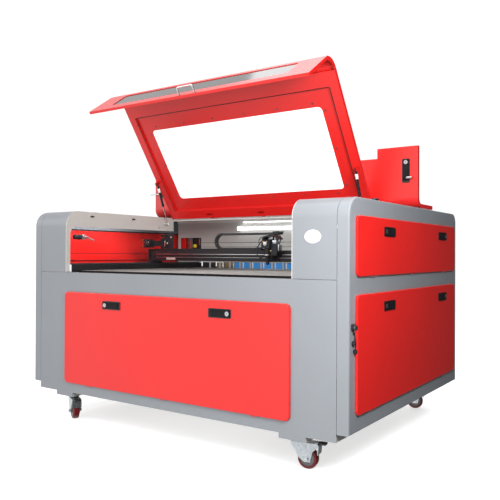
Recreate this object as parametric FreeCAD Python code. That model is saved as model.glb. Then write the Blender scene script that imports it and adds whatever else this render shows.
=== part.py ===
import FreeCAD, Part
import math
import os

# Laser engraver, 1300 x 900 mm bed, on four swivel casters.
# Millimetres, +Z up, X to the right seen from the front.
# Depths (Y) below are measured back from the front sheet; save() moves every
# piece so that the origin lies on the floor under the middle of the machine.

V = FreeCAD.Vector
X_AXIS, Y_AXIS, Z_AXIS = V(1, 0, 0), V(0, 1, 0), V(0, 0, 1)

# ---- driving dimensions -------------------------------------------------
HALF = 925.0              # half of the width over the side shells
DEPTH = 1330.0            # front sheet to rear sheet
TOP = 1075.0              # height of the shells over the floor
SEAM = 755.0              # top of the lower front sheet
PANEL_LOW = 141.0         # bottom of the front sheet
SHELL_LOW = 173.0         # bottom of the side shells
FLANGE = 50.0             # return flange of the side shells
SHEET = 3.0
CORNER = 78.0             # front top corner radius
REAR_CORNER = 50.0        # rear top corner radius
BAY_HALF = 675.0          # half of the work bay between the columns
JOINT = 1.8               # shadow gap between neighbouring sheets
DECK_FRONT = 832.0        # front edge of the fixed rear deck
BAY_WALL = 1105.0         # rear wall of the bay
WINDOW_TOP = 993.0        # top of the openings in the column walls
GAP = 0.4                 # air between pieces on different bodies

DOOR_PROUD = 11.0
FRONT_DOOR = (673.0, 191.5, 657.0)          # half width, low, high
SIDE_DOOR = (52.0, 1276.0)                  # depth range of the side doors
UPPER_DOOR = (768.0, 1004.0)
LOWER_DOOR = (238.0, 699.0)
DOOR_RADIUS = 24.0
DOOR_LAP = 13.0           # how far a door covers the sheet round its opening
HINGE_R = 2.0             # door hinge knuckle radius
HINGE_DROP = 2.4          # door hinge axis below the door's edge
LATCH_HALF = 20.0         # half height of a latch's frame
FRONT_LATCH = (282.0, 601.0)                # pivot |x|, height
SIDE_LATCH_DEPTHS = (412.0, 1015.0)         # pivots of the front and rear latch
SIDE_LATCH_HEIGHTS = {"upper": 948.0, "lower": 641.0}

LID_ANGLE = 55.5          # how far the lid stands open at rest
LID_AXIS = (827.0, 1069.0)
LID_HALF = 663.0
LID_REAR = 820.0
LID_DEEP = 20.0           # depth of the folded lip under the skin
LIP = 49.0
FLAP_HALF = 671.0
FLAP_FACE = -6.0
FLAP_THICK = 14.0
FLAP_LOW = 810.0
LID_WINDOW = (542.0, 240.0, 685.0)          # half width, front, rear
FLAP_WINDOW = (540.0, 858.0, 984.0)
STRUT_X = 645.0
STRUT_LID = (563.0, 1036.5)                 # ball on the closed lid
STRUT_WALL = (743.0, 1035.0)                # ball on the column wall
STRUT_CYLINDER = 140.0

COVER_AXIS = (1105.0, 1081.0)
COVER_HALF = 873.0
COVER_FRONT = 880.0
COVER_SKIN = 1087.0
COVER_HEIGHT = 306.0
COVER_TAB_X = 659.0
COVER_LATCH = (812.0, 1226.0)               # pivot |x|, height
COVER_NOTCH = 50.0

RAIL_X = 683.0
RAIL_TOP = 795.0
BEAM = (640.0, 700.0, 812.0, 873.0)         # depth range, height range
BEAM_HALF = 690.0
HEAD_X = 177.0
NOZZLE = (596.0, 797.0)                     # depth, tip height
CHAIN = (-184.0, 685.0, 40.5)               # bend centre x, depth, radius
CHAIN_ANCHOR = (50.0, 80.0)
TABLE_TOP = 764.0

BUTTON = (850.0, 409.0)   # stop button, x and depth

CASTER_X = 680.0
CASTER_DEPTHS = {"front": 60.0, "rear": 1270.0}
CASTER_YAW = {("front", -1): -30.0, ("front", 1): 10.0, ("rear", -1): 20.0, ("rear", 1): 20.0}
CASTER_HEIGHT = 120.0
WHEEL_RADIUS = 42.0
WHEEL_WIDTH = 34.0
TRAIL = 38.0

FRONT_PROUD = 18.0        # latch handles in front of the front sheet
COLLAR_LENGTH = 45.0      # exhaust collars behind the rear sheet
FRONT_Y = -(DEPTH + COLLAR_LENGTH - FRONT_PROUD) / 2.0

SIDES = {"left": -1, "right": 1}


# ---- helpers ------------------------------------------------------------
def box(x0, x1, y0, y1, z0, z1):
    low = V(min(x0, x1), min(y0, y1), min(z0, z1))
    return Part.makeBox(abs(x1 - x0), abs(y1 - y0), abs(z1 - z0), low)


def rod(radius, start, end):
    a, b = V(*start), V(*end)
    return Part.makeCylinder(radius, (b - a).Length, a, b - a)


def tube(outer, inner, start, end):
    return rod(outer, start, end).cut(rod(inner, start, end))


def join(shapes):
    first, rest = shapes[0], shapes[1:]
    return first.multiFuse(rest).removeSplitter() if rest else first


def group(shapes):
    return Part.makeCompound(shapes)


def mirror(shape):
    return shape.mirror(V(0, 0, 0), X_AXIS)


def for_side(shape, side):
    return mirror(shape) if side < 0 else shape


def turned(shape, point, axis, degrees):
    out = shape.copy()
    out.rotate(V(*point), axis, degrees)
    return out


def moved(shape, x, y, z):
    out = shape.copy()
    out.translate(V(x, y, z))
    return out


def rounded_face(x0, x1, z0, z1, radius, y):
    """A rectangle with round corners in the XZ plane."""
    edges = []
    corners = [(x1 - radius, z0 + radius, -90), (x1 - radius, z1 - radius, 0),
               (x0 + radius, z1 - radius, 90), (x0 + radius, z0 + radius, 180)]
    arcs = []
    for cx, cz, start in corners:
        points = []
        for step in (0, 45, 90):
            a = math.radians(start + step)
            points.append(V(cx + radius * math.cos(a), y, cz + radius * math.sin(a)))
        arcs.append(points)
    for i, points in enumerate(arcs):
        following = arcs[(i + 1) % 4][0]
        edges.append(Part.Arc(*points).toShape())
        edges.append(Part.LineSegment(points[2], following).toShape())
    return Part.Face(Part.Wire(edges))


def rounded_plate(x0, x1, z0, z1, radius, y0, y1):
    """A plate with round corners that stands in the XZ plane."""
    return rounded_face(x0, x1, z0, z1, radius, y0).extrude(V(0, y1 - y0, 0))


def flat_plate(x0, x1, y0, y1, radius, z0, z1):
    """A plate with round corners that lies in the XY plane."""
    plate = rounded_plate(x0, x1, y0, y1, radius, 0, z1 - z0)
    plate = turned(plate, (0, 0, 0), X_AXIS, -90)
    plate = plate.mirror(V(0, 0, 0), Y_AXIS)
    low = plate.BoundBox
    return moved(plate, 0, y0 - low.YMin, z0 - low.ZMin)


def prism(points, x0, x1):
    """A closed outline of (depth, height) points, extruded along X."""
    corners = [V(x0, y, z) for y, z in points]
    wire = Part.makePolygon(corners + corners[:1])
    return Part.Face(wire).extrude(V(x1 - x0, 0, 0))


def outline(path, x):
    """Edges along a path of ("line", point) and ("arc", centre, start, end)."""
    edges = []
    for item in path:
        if item[0] == "line":
            (y0, z0), (y1, z1) = item[1], item[2]
            edges.append(Part.LineSegment(V(x, y0, z0), V(x, y1, z1)).toShape())
        else:
            (cy, cz), radius, start, end = item[1:]
            points = []
            for a in (start, (start + end) / 2.0, end):
                a = math.radians(a)
                points.append(V(x, cy + radius * math.cos(a), cz + radius * math.sin(a)))
            edges.append(Part.Arc(*points).toShape())
    return Part.Face(Part.Wire(edges))


def softened(shape, radius, chosen):
    """Fillets the edges that chosen(edge) picks, if the kernel can."""
    edges = [edge for edge in shape.Edges if chosen(edge)]
    try:
        out = shape.makeFillet(radius, edges)
    except Part.OCCError:
        return shape
    return out if out.isValid() and out.Volume > 0 else shape


def on_plane(axis, value):
    def chosen(edge):
        bound = edge.BoundBox
        low = getattr(bound, axis + "Min")
        high = getattr(bound, axis + "Max")
        return abs(low - value) < 0.01 and abs(high - value) < 0.01
    return chosen


def bar(x0, x1, y0, y1, z0, z1, wall=3.0):
    """A hollow square tube along its longest side."""
    sizes = [abs(x1 - x0), abs(y1 - y0), abs(z1 - z0)]
    along = sizes.index(max(sizes))
    low = [min(x0, x1) + wall, min(y0, y1) + wall, min(z0, z1) + wall]
    high = [max(x0, x1) - wall, max(y0, y1) - wall, max(z0, z1) - wall]
    low[along] -= 2 * wall
    high[along] += 2 * wall
    inner = box(low[0], high[0], low[1], high[1], low[2], high[2])
    return box(x0, x1, y0, y1, z0, z1).cut(inner)


def on_side_wall(shape):
    """From door coordinates (face towards -Y) to the right-hand side wall."""
    return moved(turned(shape, (0, 0, 0), Z_AXIS, 90), HALF, 0, 0)


def closed_to_open(shape):
    return turned(shape, (0, LID_AXIS[0], LID_AXIS[1]), X_AXIS, -LID_ANGLE)


def save(name, shape):
    placed = moved(shape, 0, FRONT_Y, 0)
    placed.exportStep("parts/" + name + ".step")


# ---- frame and sheets ---------------------------------------------------
def base_frame():
    """Welded square tube frame with the four caster blocks."""
    pieces = []
    rear = DEPTH - 6.0
    for y0 in (6.0, rear - 50.0):
        pieces.append(bar(-860, 860, y0, y0 + 50, 145, 195))
        pieces.append(bar(-860, 860, y0, y0 + 50, 650, 700))
        for x0 in (-860, 810):
            pieces.append(bar(x0, x0 + 50, y0, y0 + 50, 195, 650))
    for x0 in (-860, 810):
        pieces.append(bar(x0, x0 + 50, 56, rear - 50, 145, 195))
        pieces.append(bar(x0, x0 + 50, 56, rear - 50, 650, 700))
    for x0 in (-RAIL_X - 25, RAIL_X - 25):
        pieces.append(bar(x0, x0 + 50, 31, rear, 700, RAIL_TOP - 40))
    for y0 in (420.0, 860.0):
        pieces.append(bar(-810, 810, y0, y0 + 40, 660, 700))
    for x0 in (-CASTER_X - 62, CASTER_X - 62):
        for y0 in (3.2, DEPTH - 118.2):
            pieces.append(box(x0, x0 + 124, y0, y0 + 115, CASTER_HEIGHT, 145))
    for x0 in (-872, 860):
        pieces.append(box(x0, x0 + 12, 6, rear, PANEL_LOW + 1, SHELL_LOW - 1))
    return join(pieces)


def front_panel():
    """Lower front sheet with the door opening and two low aprons."""
    half, low, high = FRONT_DOOR
    lap = DOOR_LAP
    edge = HALF - FLANGE - JOINT
    sheet = box(-edge, edge, 0, SHEET, PANEL_LOW, SEAM)
    flange = box(-edge, edge, SHEET, 30, SEAM - SHEET, SEAM)
    pieces = [sheet, flange]
    for x0 in (-CASTER_X - 62, CASTER_X - 62):
        pieces.append(box(x0, x0 + 124, 0, SHEET, CASTER_HEIGHT, PANEL_LOW))
    shape = join(pieces)
    opening = rounded_plate(-half + lap, half - lap, low + lap, high - lap, DOOR_RADIUS, -5, 20)
    shape = shape.cut(opening)
    knuckles = []
    axis_z = low - HINGE_DROP
    for x in (-500, 0, 500):
        for side in (-1, 1):
            start, end = x + side * 10.0, x + side * 22.0
            knuckles.append(rod(HINGE_R, (start, -5, axis_z), (end, -5, axis_z)))
            knuckles.append(box(start, end, -5, 0, axis_z - HINGE_R, axis_z))
        knuckles.append(rod(0.8, (x - 14, -5, axis_z), (x + 14, -5, axis_z)))
    return join([shape] + knuckles)


def shell_outline(inset, x):
    """Side view of the machine, inset by a sheet thickness."""
    front, rear = inset, DEPTH - inset
    low, top = SHELL_LOW + inset, TOP - inset
    r1, r2 = CORNER - inset, REAR_CORNER - inset
    return outline([
        ("line", (front, low), (front, top - r1)),
        ("arc", (front + r1, top - r1), r1, 180, 90),
        ("line", (front + r1, top), (rear - r2, top)),
        ("arc", (rear - r2, top - r2), r2, 90, 0),
        ("line", (rear, top - r2), (rear, low)),
        ("line", (rear, low), (front, low))], x)


def side_shell():
    """Right side shell: a shallow pan with two door openings."""
    inner_x = HALF - FLANGE
    outer = shell_outline(0.0, inner_x).extrude(V(FLANGE, 0, 0))
    outer = softened(outer, 7.0, on_plane("X", HALF))
    hollow = shell_outline(SHEET, inner_x).extrude(V(FLANGE - SHEET, 0, 0))
    shape = outer.cut(hollow)
    y0, y1 = SIDE_DOOR
    for low, high in (UPPER_DOOR, LOWER_DOOR):
        lap = DOOR_LAP
        hole = rounded_plate(y0 + lap, y1 - lap, low + lap, high - lap, DOOR_RADIUS, -10, 40)
        shape = shape.cut(on_side_wall(hole))
        middle = (y0 + y1) / 2.0
        for along in (middle - 450, middle, middle + 450):
            shape = join([shape] + side_knuckles(along, low))
    return shape


def side_knuckles(along, low):
    """Fixed knuckles and pin of one side door hinge."""
    x, z = HALF + 5.0, low - HINGE_DROP
    pieces = [rod(0.8, (x, along - 14, z), (x, along + 14, z))]
    for side in (-1, 1):
        start, end = along + side * 10.0, along + side * 22.0
        pieces.append(rod(HINGE_R, (x, start, z), (x, end, z)))
        pieces.append(box(HALF - 1, x, start, end, z - HINGE_R, z))
    return pieces


def column():
    """Right column: front, round corner, top and the pierced inner wall."""
    x0, x1 = BAY_HALF, HALF - FLANGE - JOINT
    rear = DECK_FRONT - 0.3

    def solid(inset, low, high):
        top, radius = TOP - inset, CORNER - inset
        face = outline([
            ("line", (inset, SEAM + JOINT), (inset, top - radius)),
            ("arc", (inset + radius, top - radius), radius, 180, 90),
            ("line", (inset + radius, top), (rear, top)),
            ("line", (rear, top), (rear, SEAM + JOINT)),
            ("line", (rear, SEAM + JOINT), (inset, SEAM + JOINT))], low)
        return face.extrude(V(high - low, 0, 0))

    cover = solid(0.0, x0, x1).cut(solid(SHEET, x0 + SHEET, x1 + 1))
    lower = box(x0 - 1, x1 + 1, 26, rear + 1, SEAM - 1, WINDOW_TOP - 40)
    upper = box(x0 - 1, x0 + SHEET + 1, 66, rear + 1, SEAM - 1, WINDOW_TOP)
    round_corner = rod(40, (x0 - 1, 66, WINDOW_TOP - 40), (x0 + SHEET + 1, 66, WINDOW_TOP - 40))
    cover = cover.cut(join([lower, upper, round_corner]))
    pivot_y, pivot_z = STRUT_WALL
    stud = rod(4.5, (STRUT_X + 4.6, pivot_y, pivot_z), (x0, pivot_y, pivot_z))
    boss = rod(9.0, (x0 - 3, pivot_y, pivot_z), (x0, pivot_y, pivot_z))
    bumpers = [box(x0 - 3, x0, y - 13, y + 13, 1048, 1054) for y in (172, 480)]
    return join([cover, stud, boss] + bumpers)


def rear_deck():
    """Fixed strip behind the lid that carries both sets of hinges."""
    edge = HALF - FLANGE - JOINT
    pieces = [
        box(-edge, edge, DECK_FRONT, BAY_WALL - 3, TOP - SHEET, TOP),
        box(-BAY_HALF, BAY_HALF, DECK_FRONT, DECK_FRONT + SHEET, TOP - 20, TOP - SHEET),
        box(-edge, edge, BAY_WALL - 6, BAY_WALL - 3, TOP - 20, TOP - SHEET),
    ]
    y, z = LID_AXIS
    for x in (-362, 0, 362):
        pieces.append(rod(1.9, (x - 34, y, z), (x + 34, y, z)))
        for side in (-1, 1):
            pieces.append(rod(4.5, (x + side * 16, y, z), (x + side * 44, y, z)))
            pieces.append(box(x + side * 16, x + side * 44, y, DECK_FRONT, z - 2, z + 2))
    y, z = COVER_AXIS
    for x in (-600, 0, 600):
        pieces.append(rod(1.9, (x - 34, y, z), (x + 34, y, z)))
        for side in (-1, 1):
            pieces.append(rod(4.8, (x + side * 16, y, z), (x + side * 44, y, z)))
            pieces.append(box(x + side * 16, x + side * 44, y - 14, y, TOP, z - 1))
    for x in (-760, -300, 300, 760):
        pieces.append(rod(9, (x, 915, TOP), (x, 915, COVER_SKIN - GAP)))
    return join(pieces)


def bay_rear_wall():
    """Rear wall of the bay with its row of exhaust slots, and the tube shelf."""
    edge = HALF - FLANGE - JOINT
    wall = box(-edge, edge, BAY_WALL, BAY_WALL + SHEET, SEAM, TOP - 14)
    shelf = box(-866, 866, BAY_WALL + SHEET, DEPTH - 3.5, 806, 806 + SHEET)
    slots = []
    for i in range(17):
        x = -640 + 80 * i
        slots.append(box(x - 34, x + 34, BAY_WALL - 5, BAY_WALL + 10, 762, 801))
    slots.append(box(-852, -756, BAY_WALL - 5, BAY_WALL + 10, 872, 960))
    slots.append(box(-760, -690, BAY_WALL - 5, BAY_WALL + 10, 872, 960))
    shape = join([wall, shelf]).cut(group(slots))
    filter_plate = box(-405, edge - 140, BAY_WALL + 8, BAY_WALL + 12, 758, 805.5)
    return group([shape, filter_plate])


def rear_panel():
    """Lower rear sheet with louvres, two exhaust collars and water barbs."""
    edge = HALF - FLANGE - JOINT
    y0, y1 = DEPTH - SHEET, DEPTH
    pieces = [box(-edge, edge, y0, y1, PANEL_LOW, 768)]
    pieces.append(box(-COVER_TAB_X + 2, COVER_TAB_X - 2, y0, y1, 768, 817.5))
    cuts = []
    for x in (-350, 350):
        pieces.append(rod(75, (x, y0, 450), (x, y1 + COLLAR_LENGTH, 450)))
        cuts.append(rod(72, (x, y0 - 1, 450), (x, y1 + COLLAR_LENGTH + 1, 450)))
    for x in (-40, 40):
        pieces.append(rod(5, (x, y0, 640), (x, y1 + 32, 640)))
        pieces.append(rod(10, (x, y0, 640), (x, y1 + 6, 640)))
        cuts.append(rod(3, (x, y0 - 1, 640), (x, y1 + 33, 640)))
    for x in (-700, 700):
        for i in range(8):
            cuts.append(box(x - 70, x + 70, y0 - 1, y1 + 1, 300 + 22 * i, 308 + 22 * i))
    inlet = box(600, 660, y1, y1 + 8, 640, 690).cut(box(607, 653, y1 + 2, y1 + 9, 648, 682))
    pieces.append(inlet)
    return join(pieces).cut(group(cuts))


def bay_floor():
    """Sloping chute under the bed that drops scraps into the tray."""
    x0, y0, y1 = 640.0, 70.0, 1040.0
    top, low = 640.0, 470.0
    walls = []
    for outer, depth in ((True, 0.0), (False, SHEET)):
        a = [V(-x0 + depth, y0 + depth, top), V(x0 - depth, y0 + depth, top),
             V(x0 - depth, y1 - depth, top), V(-x0 + depth, y1 - depth, top)]
        b = [V(-380 + depth, 160 + depth, low), V(380 - depth, 160 + depth, low),
             V(380 - depth, 700 - depth, low), V(-380 + depth, 700 - depth, low)]
        upper = Part.makePolygon(a + a[:1])
        lower = Part.makePolygon(b + b[:1])
        walls.append(Part.makeLoft([upper, lower], True, True))
    return walls[0].cut(walls[1])


def debris_tray():
    """Open pan under the chute, behind the front door."""
    pan = box(-400, 400, 110, 740, 240, 440).cut(box(-397, 397, 113, 737, 243, 445))
    rails = [box(x, x + 30, 56, DEPTH - 56, 195, 240) for x in (-400, 370)]
    return join([pan] + rails)


def blade_table():
    """Knife bed: a border of square bars with upright aluminium slats."""
    x1, y0, y1 = 645.0, 62.0, 1045.0
    low = TABLE_TOP - 30
    border = [
        box(-x1, x1, y0, y0 + 25, low, TABLE_TOP),
        box(-x1, x1, y1 - 25, y1, low, TABLE_TOP),
        box(-x1, -x1 + 25, y0 + 25, y1 - 25, low, TABLE_TOP),
        box(x1 - 25, x1, y0 + 25, y1 - 25, low, TABLE_TOP),
    ]
    legs = [box(x - 15, x + 15, y, y + 40, 700, low) for x in (-632, 632) for y in (420, 860)]
    slats = []
    for i in range(23):
        y = y0 + 44 + 40.0 * i
        slats.append(box(-x1 + 24, x1 - 24, y, y + 4, low + 2, TABLE_TOP - 1))
    return join(border + legs + slats)


# ---- motion system ------------------------------------------------------
def y_rails():
    """The two long rails with their belts and pulleys at both ends."""
    pieces = []
    for side in (-1, 1):
        x = side * RAIL_X
        pieces.append(box(x - 20, x + 20, 27, 1097, RAIL_TOP - 40, RAIL_TOP))
        pieces.append(box(x - 7.5, x + 7.5, 30, 1090, RAIL_TOP, RAIL_TOP + 7))
        outer = x + side * 44
        for y in (60, 1062):
            start, end = (outer - 7, y, RAIL_TOP - 20), (outer + 7, y, RAIL_TOP - 20)
            pieces.append(rod(17, start, end))
            pieces.append(box(x + side * 20, outer - side * 7, y - 8, y + 8, 770, 782))
        strip = outer - side * 5
        for z in (RAIL_TOP - 4.6, RAIL_TOP - 37.4):
            pieces.append(box(strip, strip + side * 10, 60, 1062, z, z + 2))
    return group(pieces)


def gantry_beam():
    """Cross beam with end carriages, chain tray and the second mirror."""
    y0, y1, z0, z1 = BEAM
    beam = box(-BEAM_HALF, BEAM_HALF, y0, y1, z0, z1)
    beam = beam.cut(box(-BEAM_HALF - 1, BEAM_HALF + 1, y0 + 5, y1 - 5, z0 + 5, z1 - 5))
    groove = box(-BEAM_HALF - 1, BEAM_HALF + 1, y0 - 1, y0 + 3, z0 + 25, z0 + 35)
    pieces = [beam.cut(groove)]
    for side in (-1, 1):
        x = side * RAIL_X
        block = box(x - 22, x + 22, y0 - 15, y1 + 15, RAIL_TOP + GAP, z0)
        pieces.append(block.cut(box(x - 8, x + 8, y0 - 20, y1 + 20, RAIL_TOP, RAIL_TOP + 7.5)))
        pieces.append(box(side * BEAM_HALF, side * (BEAM_HALF + 8), y0 - 10, y1 + 10, z0, z1 + 8))
    pieces.append(box(-BEAM_HALF + 8, 90, y1 - 33, y1 - 31, z1, z1 + 10))
    pieces.append(box(-BEAM_HALF + 8, 90, y1 - 2, y1, z1, z1 + 10))
    pieces.append(box(-BEAM_HALF + 8, 90, y1 - 33, y1, z1, z1 + 1.5))
    pieces.append(box(BEAM_HALF + 8, BEAM_HALF + 55, y0 + 5, y1 - 5, z0 + 3, z1 - 8))
    pieces.append(rod(11, (BEAM_HALF + 8, y0 + 30, z1 - 8), (BEAM_HALF + 40, y0 + 30, z1 - 8)))
    back = y0 + 6
    pieces.append(box(-613, -518, back, back + 24, z1, z1 + 12))
    pieces.append(box(-613, -603, back, back + 24, z1 + 12, z1 + 72))
    pieces.append(box(-562, -521, back + 4, back + 12, z1 + 12, z1 + 97))
    pieces.append(box(-692, -603, back + 6, back + 18, z1 + 25, z1 + 57))
    pieces.append(box(-692, -680, y0 - 52, back + 18, z1 + 16, z1 + 66))
    pieces.append(rod(19, (-680, NOZZLE[0], z1 + 41), (-668, NOZZLE[0], z1 + 41)))
    for z in (z1 + 22, z1 + 60):
        pieces.append(rod(3.5, (-708, NOZZLE[0] + 4, z), (-692, NOZZLE[0] + 4, z)))
    chain_x, chain_y, radius = CHAIN
    pieces.append(box(*CHAIN_ANCHOR, chain_y - 11, chain_y + 11, z1 + 1.5, z1 + 16))
    return join(pieces)


def laser_head():
    """Carriage plate, mirror housing and lens barrel clamp."""
    x, y, z1 = HEAD_X, NOZZLE[0], BEAM[3]
    front = BEAM[0] - GAP
    plate = box(x - 40, x + 46, front - 6, front, BEAM[2] + 4, z1 + 44)
    hook = box(x - 40, x + 46, front, front + 5, z1 + GAP, z1 + 6)
    barrel = tube(17, 12.06, (x, y, 842), (x, y, 884))
    neck = box(x - 12, x + 12, y + 15, front - 6, 846, 880)
    housing = box(x - 24, x + 24, y - 24, y + 24, 884, 930)
    cut_corner = prism([(y - 30, 905), (y - 30, 940), (y + 2, 940)], x - 30, x + 30)
    housing = housing.cut(cut_corner)
    side_block = box(x + 24, x + 60, y - 8, front - 6, 846, 905)
    knob = rod(8, (x + 60, y + 6, 866), (x + 70, y + 6, 866))
    chain_x, chain_y, radius = CHAIN
    arm_z = z1 + 1.5 + 2 * radius
    arm = box(x + 6, x + 40, front - 6, chain_y + 12, arm_z + 14.5, arm_z + 17)
    pad = box(x + 32, x + 40, chain_y - 10, chain_y + 10, arm_z + 13, arm_z + 14.5)
    post = box(x + 6, x + 40, front - 6, front, z1 + 44, arm_z + 17)
    head = join([plate, hook, barrel, neck, housing, side_block, knob, arm, pad, post])
    return head.cut(rod(12.06, (x, y, 880), (x, y, 906)))


def focus_nozzle():
    """Sliding lens tube with its cone tip and air fitting."""
    x, y, tip = HEAD_X, NOZZLE[0], NOZZLE[1]
    upper = rod(12, (x, y, tip + 24), (x, y, 880))
    cone = Part.makeCone(4.0, 12.0, 24, V(x, y, tip), Z_AXIS)
    ring = rod(15, (x, y, tip + 26), (x, y, tip + 34))
    fitting = rod(3.5, (x, y, tip + 30), (x - 26, y, tip + 30))
    body = join([upper, cone, ring, fitting])
    return body.cut(rod(2.2, (x, y, tip - 1), (x, y, 881)))


def chain_link(x, y, z, angle):
    """One cable chain link centred on (x, z), turned in the XZ plane."""
    link = box(x - 9.6, x + 9.6, y - 10.5, y + 10.5, z - 6, z + 6)
    link = link.cut(box(x - 10, x + 10, y - 7, y + 7, z - 3.6, z + 3.6))
    return turned(link, (x, y, z), Y_AXIS, angle)


def chain_bend():
    """The half turn of the cable chain."""
    x, y, radius = CHAIN
    centre = BEAM[3] + 8.5 + radius
    links = []
    for i in range(7):
        a = math.radians(90 + 180 * (i + 0.5) / 7)
        lx, lz = x + radius * math.cos(a), centre + radius * math.sin(a)
        links.append(chain_link(lx, y, lz, 90 - math.degrees(a)))
    return join(links)


def chain_lower():
    """The lower run of the cable chain, in the tray behind the beam."""
    x, y, radius = CHAIN
    z = BEAM[3] + 8.5
    count = 12
    start, end = x + 2.6, CHAIN_ANCHOR[0]
    pitch = (end - start) / count
    links = []
    for i in range(count):
        a = start + pitch * i
        links.append(box(a, a + pitch * 0.86, y - 10.5, y + 10.5, z - 6, z + 6))
    spine = box(start, end, y - 8, y + 8, z - 4, z + 4)
    return join([spine] + links)


def chain_run():
    """The upper run of the cable chain, from the bend to the head."""
    x, y, radius = CHAIN
    z = BEAM[3] + 8.5 + 2 * radius
    start, end = x + 2.6, HEAD_X + 34.0
    count = 20
    pitch = (end - start) / count
    links = []
    for i in range(count):
        a = start + pitch * i
        links.append(box(a, a + pitch * 0.86, y - 10.5, y + 10.5, z - 6, z + 6))
    spine = box(start, end, y - 8, y + 8, z - 4, z + 4)
    return join([spine] + links)


# ---- laser, lamp and electronics ---------------------------------------
def laser_tube():
    """Sealed glass tube with its two end caps."""
    y, z = 1205.0, 905.0
    body = rod(40, (-640, y, z), (640, y, z))
    ends = []
    for side in (-1, 1):
        ends.append(Part.makeCone(40, 16, 50, V(side * 640, y, z), V(side, 0, 0)))
        ends.append(rod(16, (side * 690, y, z), (side * 730, y, z)))
    for x in (-560, 560):
        ends.append(rod(5, (x, y, z + 38), (x, y, z + 62)))
    return join([body] + ends)


def tube_mounts():
    """Two tube cradles and the first mirror mount."""
    pieces = []
    for x in (-420, 420):
        foot = box(x - 20, x + 20, 1150, 1260, 809, 817)
        post = box(x - 12, x + 12, 1190, 1220, 817, 860)
        ring = tube(54, 40, (x - 12, 1205, 905), (x + 12, 1205, 905))
        lug = box(x - 12, x + 12, 1196, 1214, 957, 972)
        pieces.append(join([foot, post, ring, lug]))
    foot = box(-860, -800, 1180, 1240, 809, 817)
    post = box(-850, -838, 1185, 1235, 817, 930)
    disc = rod(22, (-838, 1210, 905), (-826, 1210, 905))
    screws = [rod(3, (-862, y, z), (-850, y, z)) for y, z in ((1195, 925), (1225, 885))]
    pieces.append(join([foot, post, disc] + screws))
    return group(pieces)


def bay_lamp():
    """LED tube with end holders, on the rear wall under the deck."""
    y, z = BAY_WALL - 24.0, 1012.0
    lamp = rod(9, (-345, y, z), (345, y, z))
    holders = []
    for side in (-1, 1):
        holders.append(box(side * 345, side * 357, y - 10, BAY_WALL, z - 10, z + 12))
    return group([join([lamp] + holders)])


def electronics():
    """Mounting plate with power supply, laser supply and motor drivers."""
    pieces = [
        box(760, 763, 300, 1100, 235, 640),
        box(763, 800, 340, 560, 300, 420),
        box(763, 840, 600, 800, 290, 460),
        box(763, 800, 340, 520, 460, 600),
    ]
    for i in range(3):
        y = 600 + 70 * i
        pieces.append(box(763, 798, y, y + 50, 500, 600))
    for y in (850, 900, 950, 1000):
        pieces.append(box(763, 790, y, y + 30, 500, 580))
    for y in (300, 1070):
        pieces.append(box(745, 760, y, y + 30, 235, 640))
        pieces.append(box(745, 860, y, y + 30, 195, 235))
    return join(pieces)


def control_panel():
    """Recessed controller with a screen and keys on the right column top."""
    x0, x1, y0, y1 = 705.0, 845.0, 110.0, 330.0
    bezel = flat_plate(x0, x1, y0, y1, 8, TOP, TOP + 1.6)
    screen = box(x0 + 14, x1 - 14, y0 + 110, y1 - 14, TOP + 0.6, TOP + 5)
    bezel = bezel.cut(screen)
    glass = box(x0 + 15, x1 - 15, y0 + 111, y1 - 15, TOP + 0.6, TOP + 1.4)
    keys = []
    for i in range(4):
        for j in range(3):
            x, y = x0 + 26 + 29 * i, y0 + 22 + 30 * j
            keys.append(flat_plate(x - 9, x + 9, y - 8, y + 8, 3, TOP + 1.6, TOP + 2.6))
    x, y = BUTTON
    collar = tube(17, 11.5, (x, y, TOP), (x, y, TOP + 6))
    return group([join([bezel] + keys), glass, collar])


def stop_button():
    """Mushroom stop button that presses down in its collar."""
    x, y = BUTTON
    stem = rod(11, (x, y, TOP + 6), (x, y, TOP + 14))
    cap = rod(17, (x, y, TOP + 12), (x, y, TOP + 22))
    cap = softened(cap, 5.0, on_plane("Z", TOP + 22))
    return join([stem, cap])


def data_ports():
    """Panel socket with two dust caps that hang below it."""
    y, z = 29.0, 578.0
    flange = box(HALF, HALF + 3, y - 13, y + 13, z - 13, z + 13)
    barrel = tube(9.5, 7, (HALF + 3, y, z), (HALF + 18, y, z))
    pieces = [join([flange, barrel])]
    pieces.append(rod(3.5, (HALF, 35, 554), (HALF + 5, 35, 554)))
    for y, z, radius in ((30.0, 518.0, 8.0), (42.0, 486.0, 7.5)):
        cap = rod(radius, (HALF, y, z), (HALF + 12, y, z))
        flange = rod(radius + 1.5, (HALF, y, z), (HALF + 3, y, z))
        pieces.append(join([cap, flange]))
    return group(pieces)


# ---- doors and latches --------------------------------------------------
def latch_bezel(x, z, facing):
    """Fixed frame and hinge pin of a flush latch; facing is +1 or -1 in X."""
    low, high = sorted((x - facing * 14, x + facing * 106))
    plate = rounded_plate(low, high, z - LATCH_HALF, z + LATCH_HALF, 5, -3, 0)
    low, high = sorted((x - facing * 9, x + facing * 102.5))
    half = LATCH_HALF - 4
    plate = plate.cut(rounded_plate(low, high, z - half, z + half, 3, -4, 1))
    return join([plate, rod(1.5, (x, -2.6, z - half - 2), (x, -2.6, z + half + 2))])


def latch_handle(x, z, facing):
    """Swing handle with its lock barrel, pivoted at x."""
    half = LATCH_HALF - 5
    far = x + facing * 101
    low, high = sorted((x, far))
    plate = rounded_plate(low, high, z - half, z + half, 3, -6.2, -1)
    barrel = rod(2.3, (x, -2.6, z - half), (x, -2.6, z + half))
    low, high = sorted((x + facing * 2, x - facing * 4))
    plate = plate.cut(box(low, high, -1.6, 0, z - half - 1, z + half + 1))
    lock_x = x + facing * 88
    lock = rod(10, (lock_x, -7, z), (lock_x, -2, z))
    handle = join([plate, barrel, lock])
    return handle.cut(rod(1.56, (x, -2.6, z - half - 1), (x, -2.6, z + half + 1)))


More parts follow.
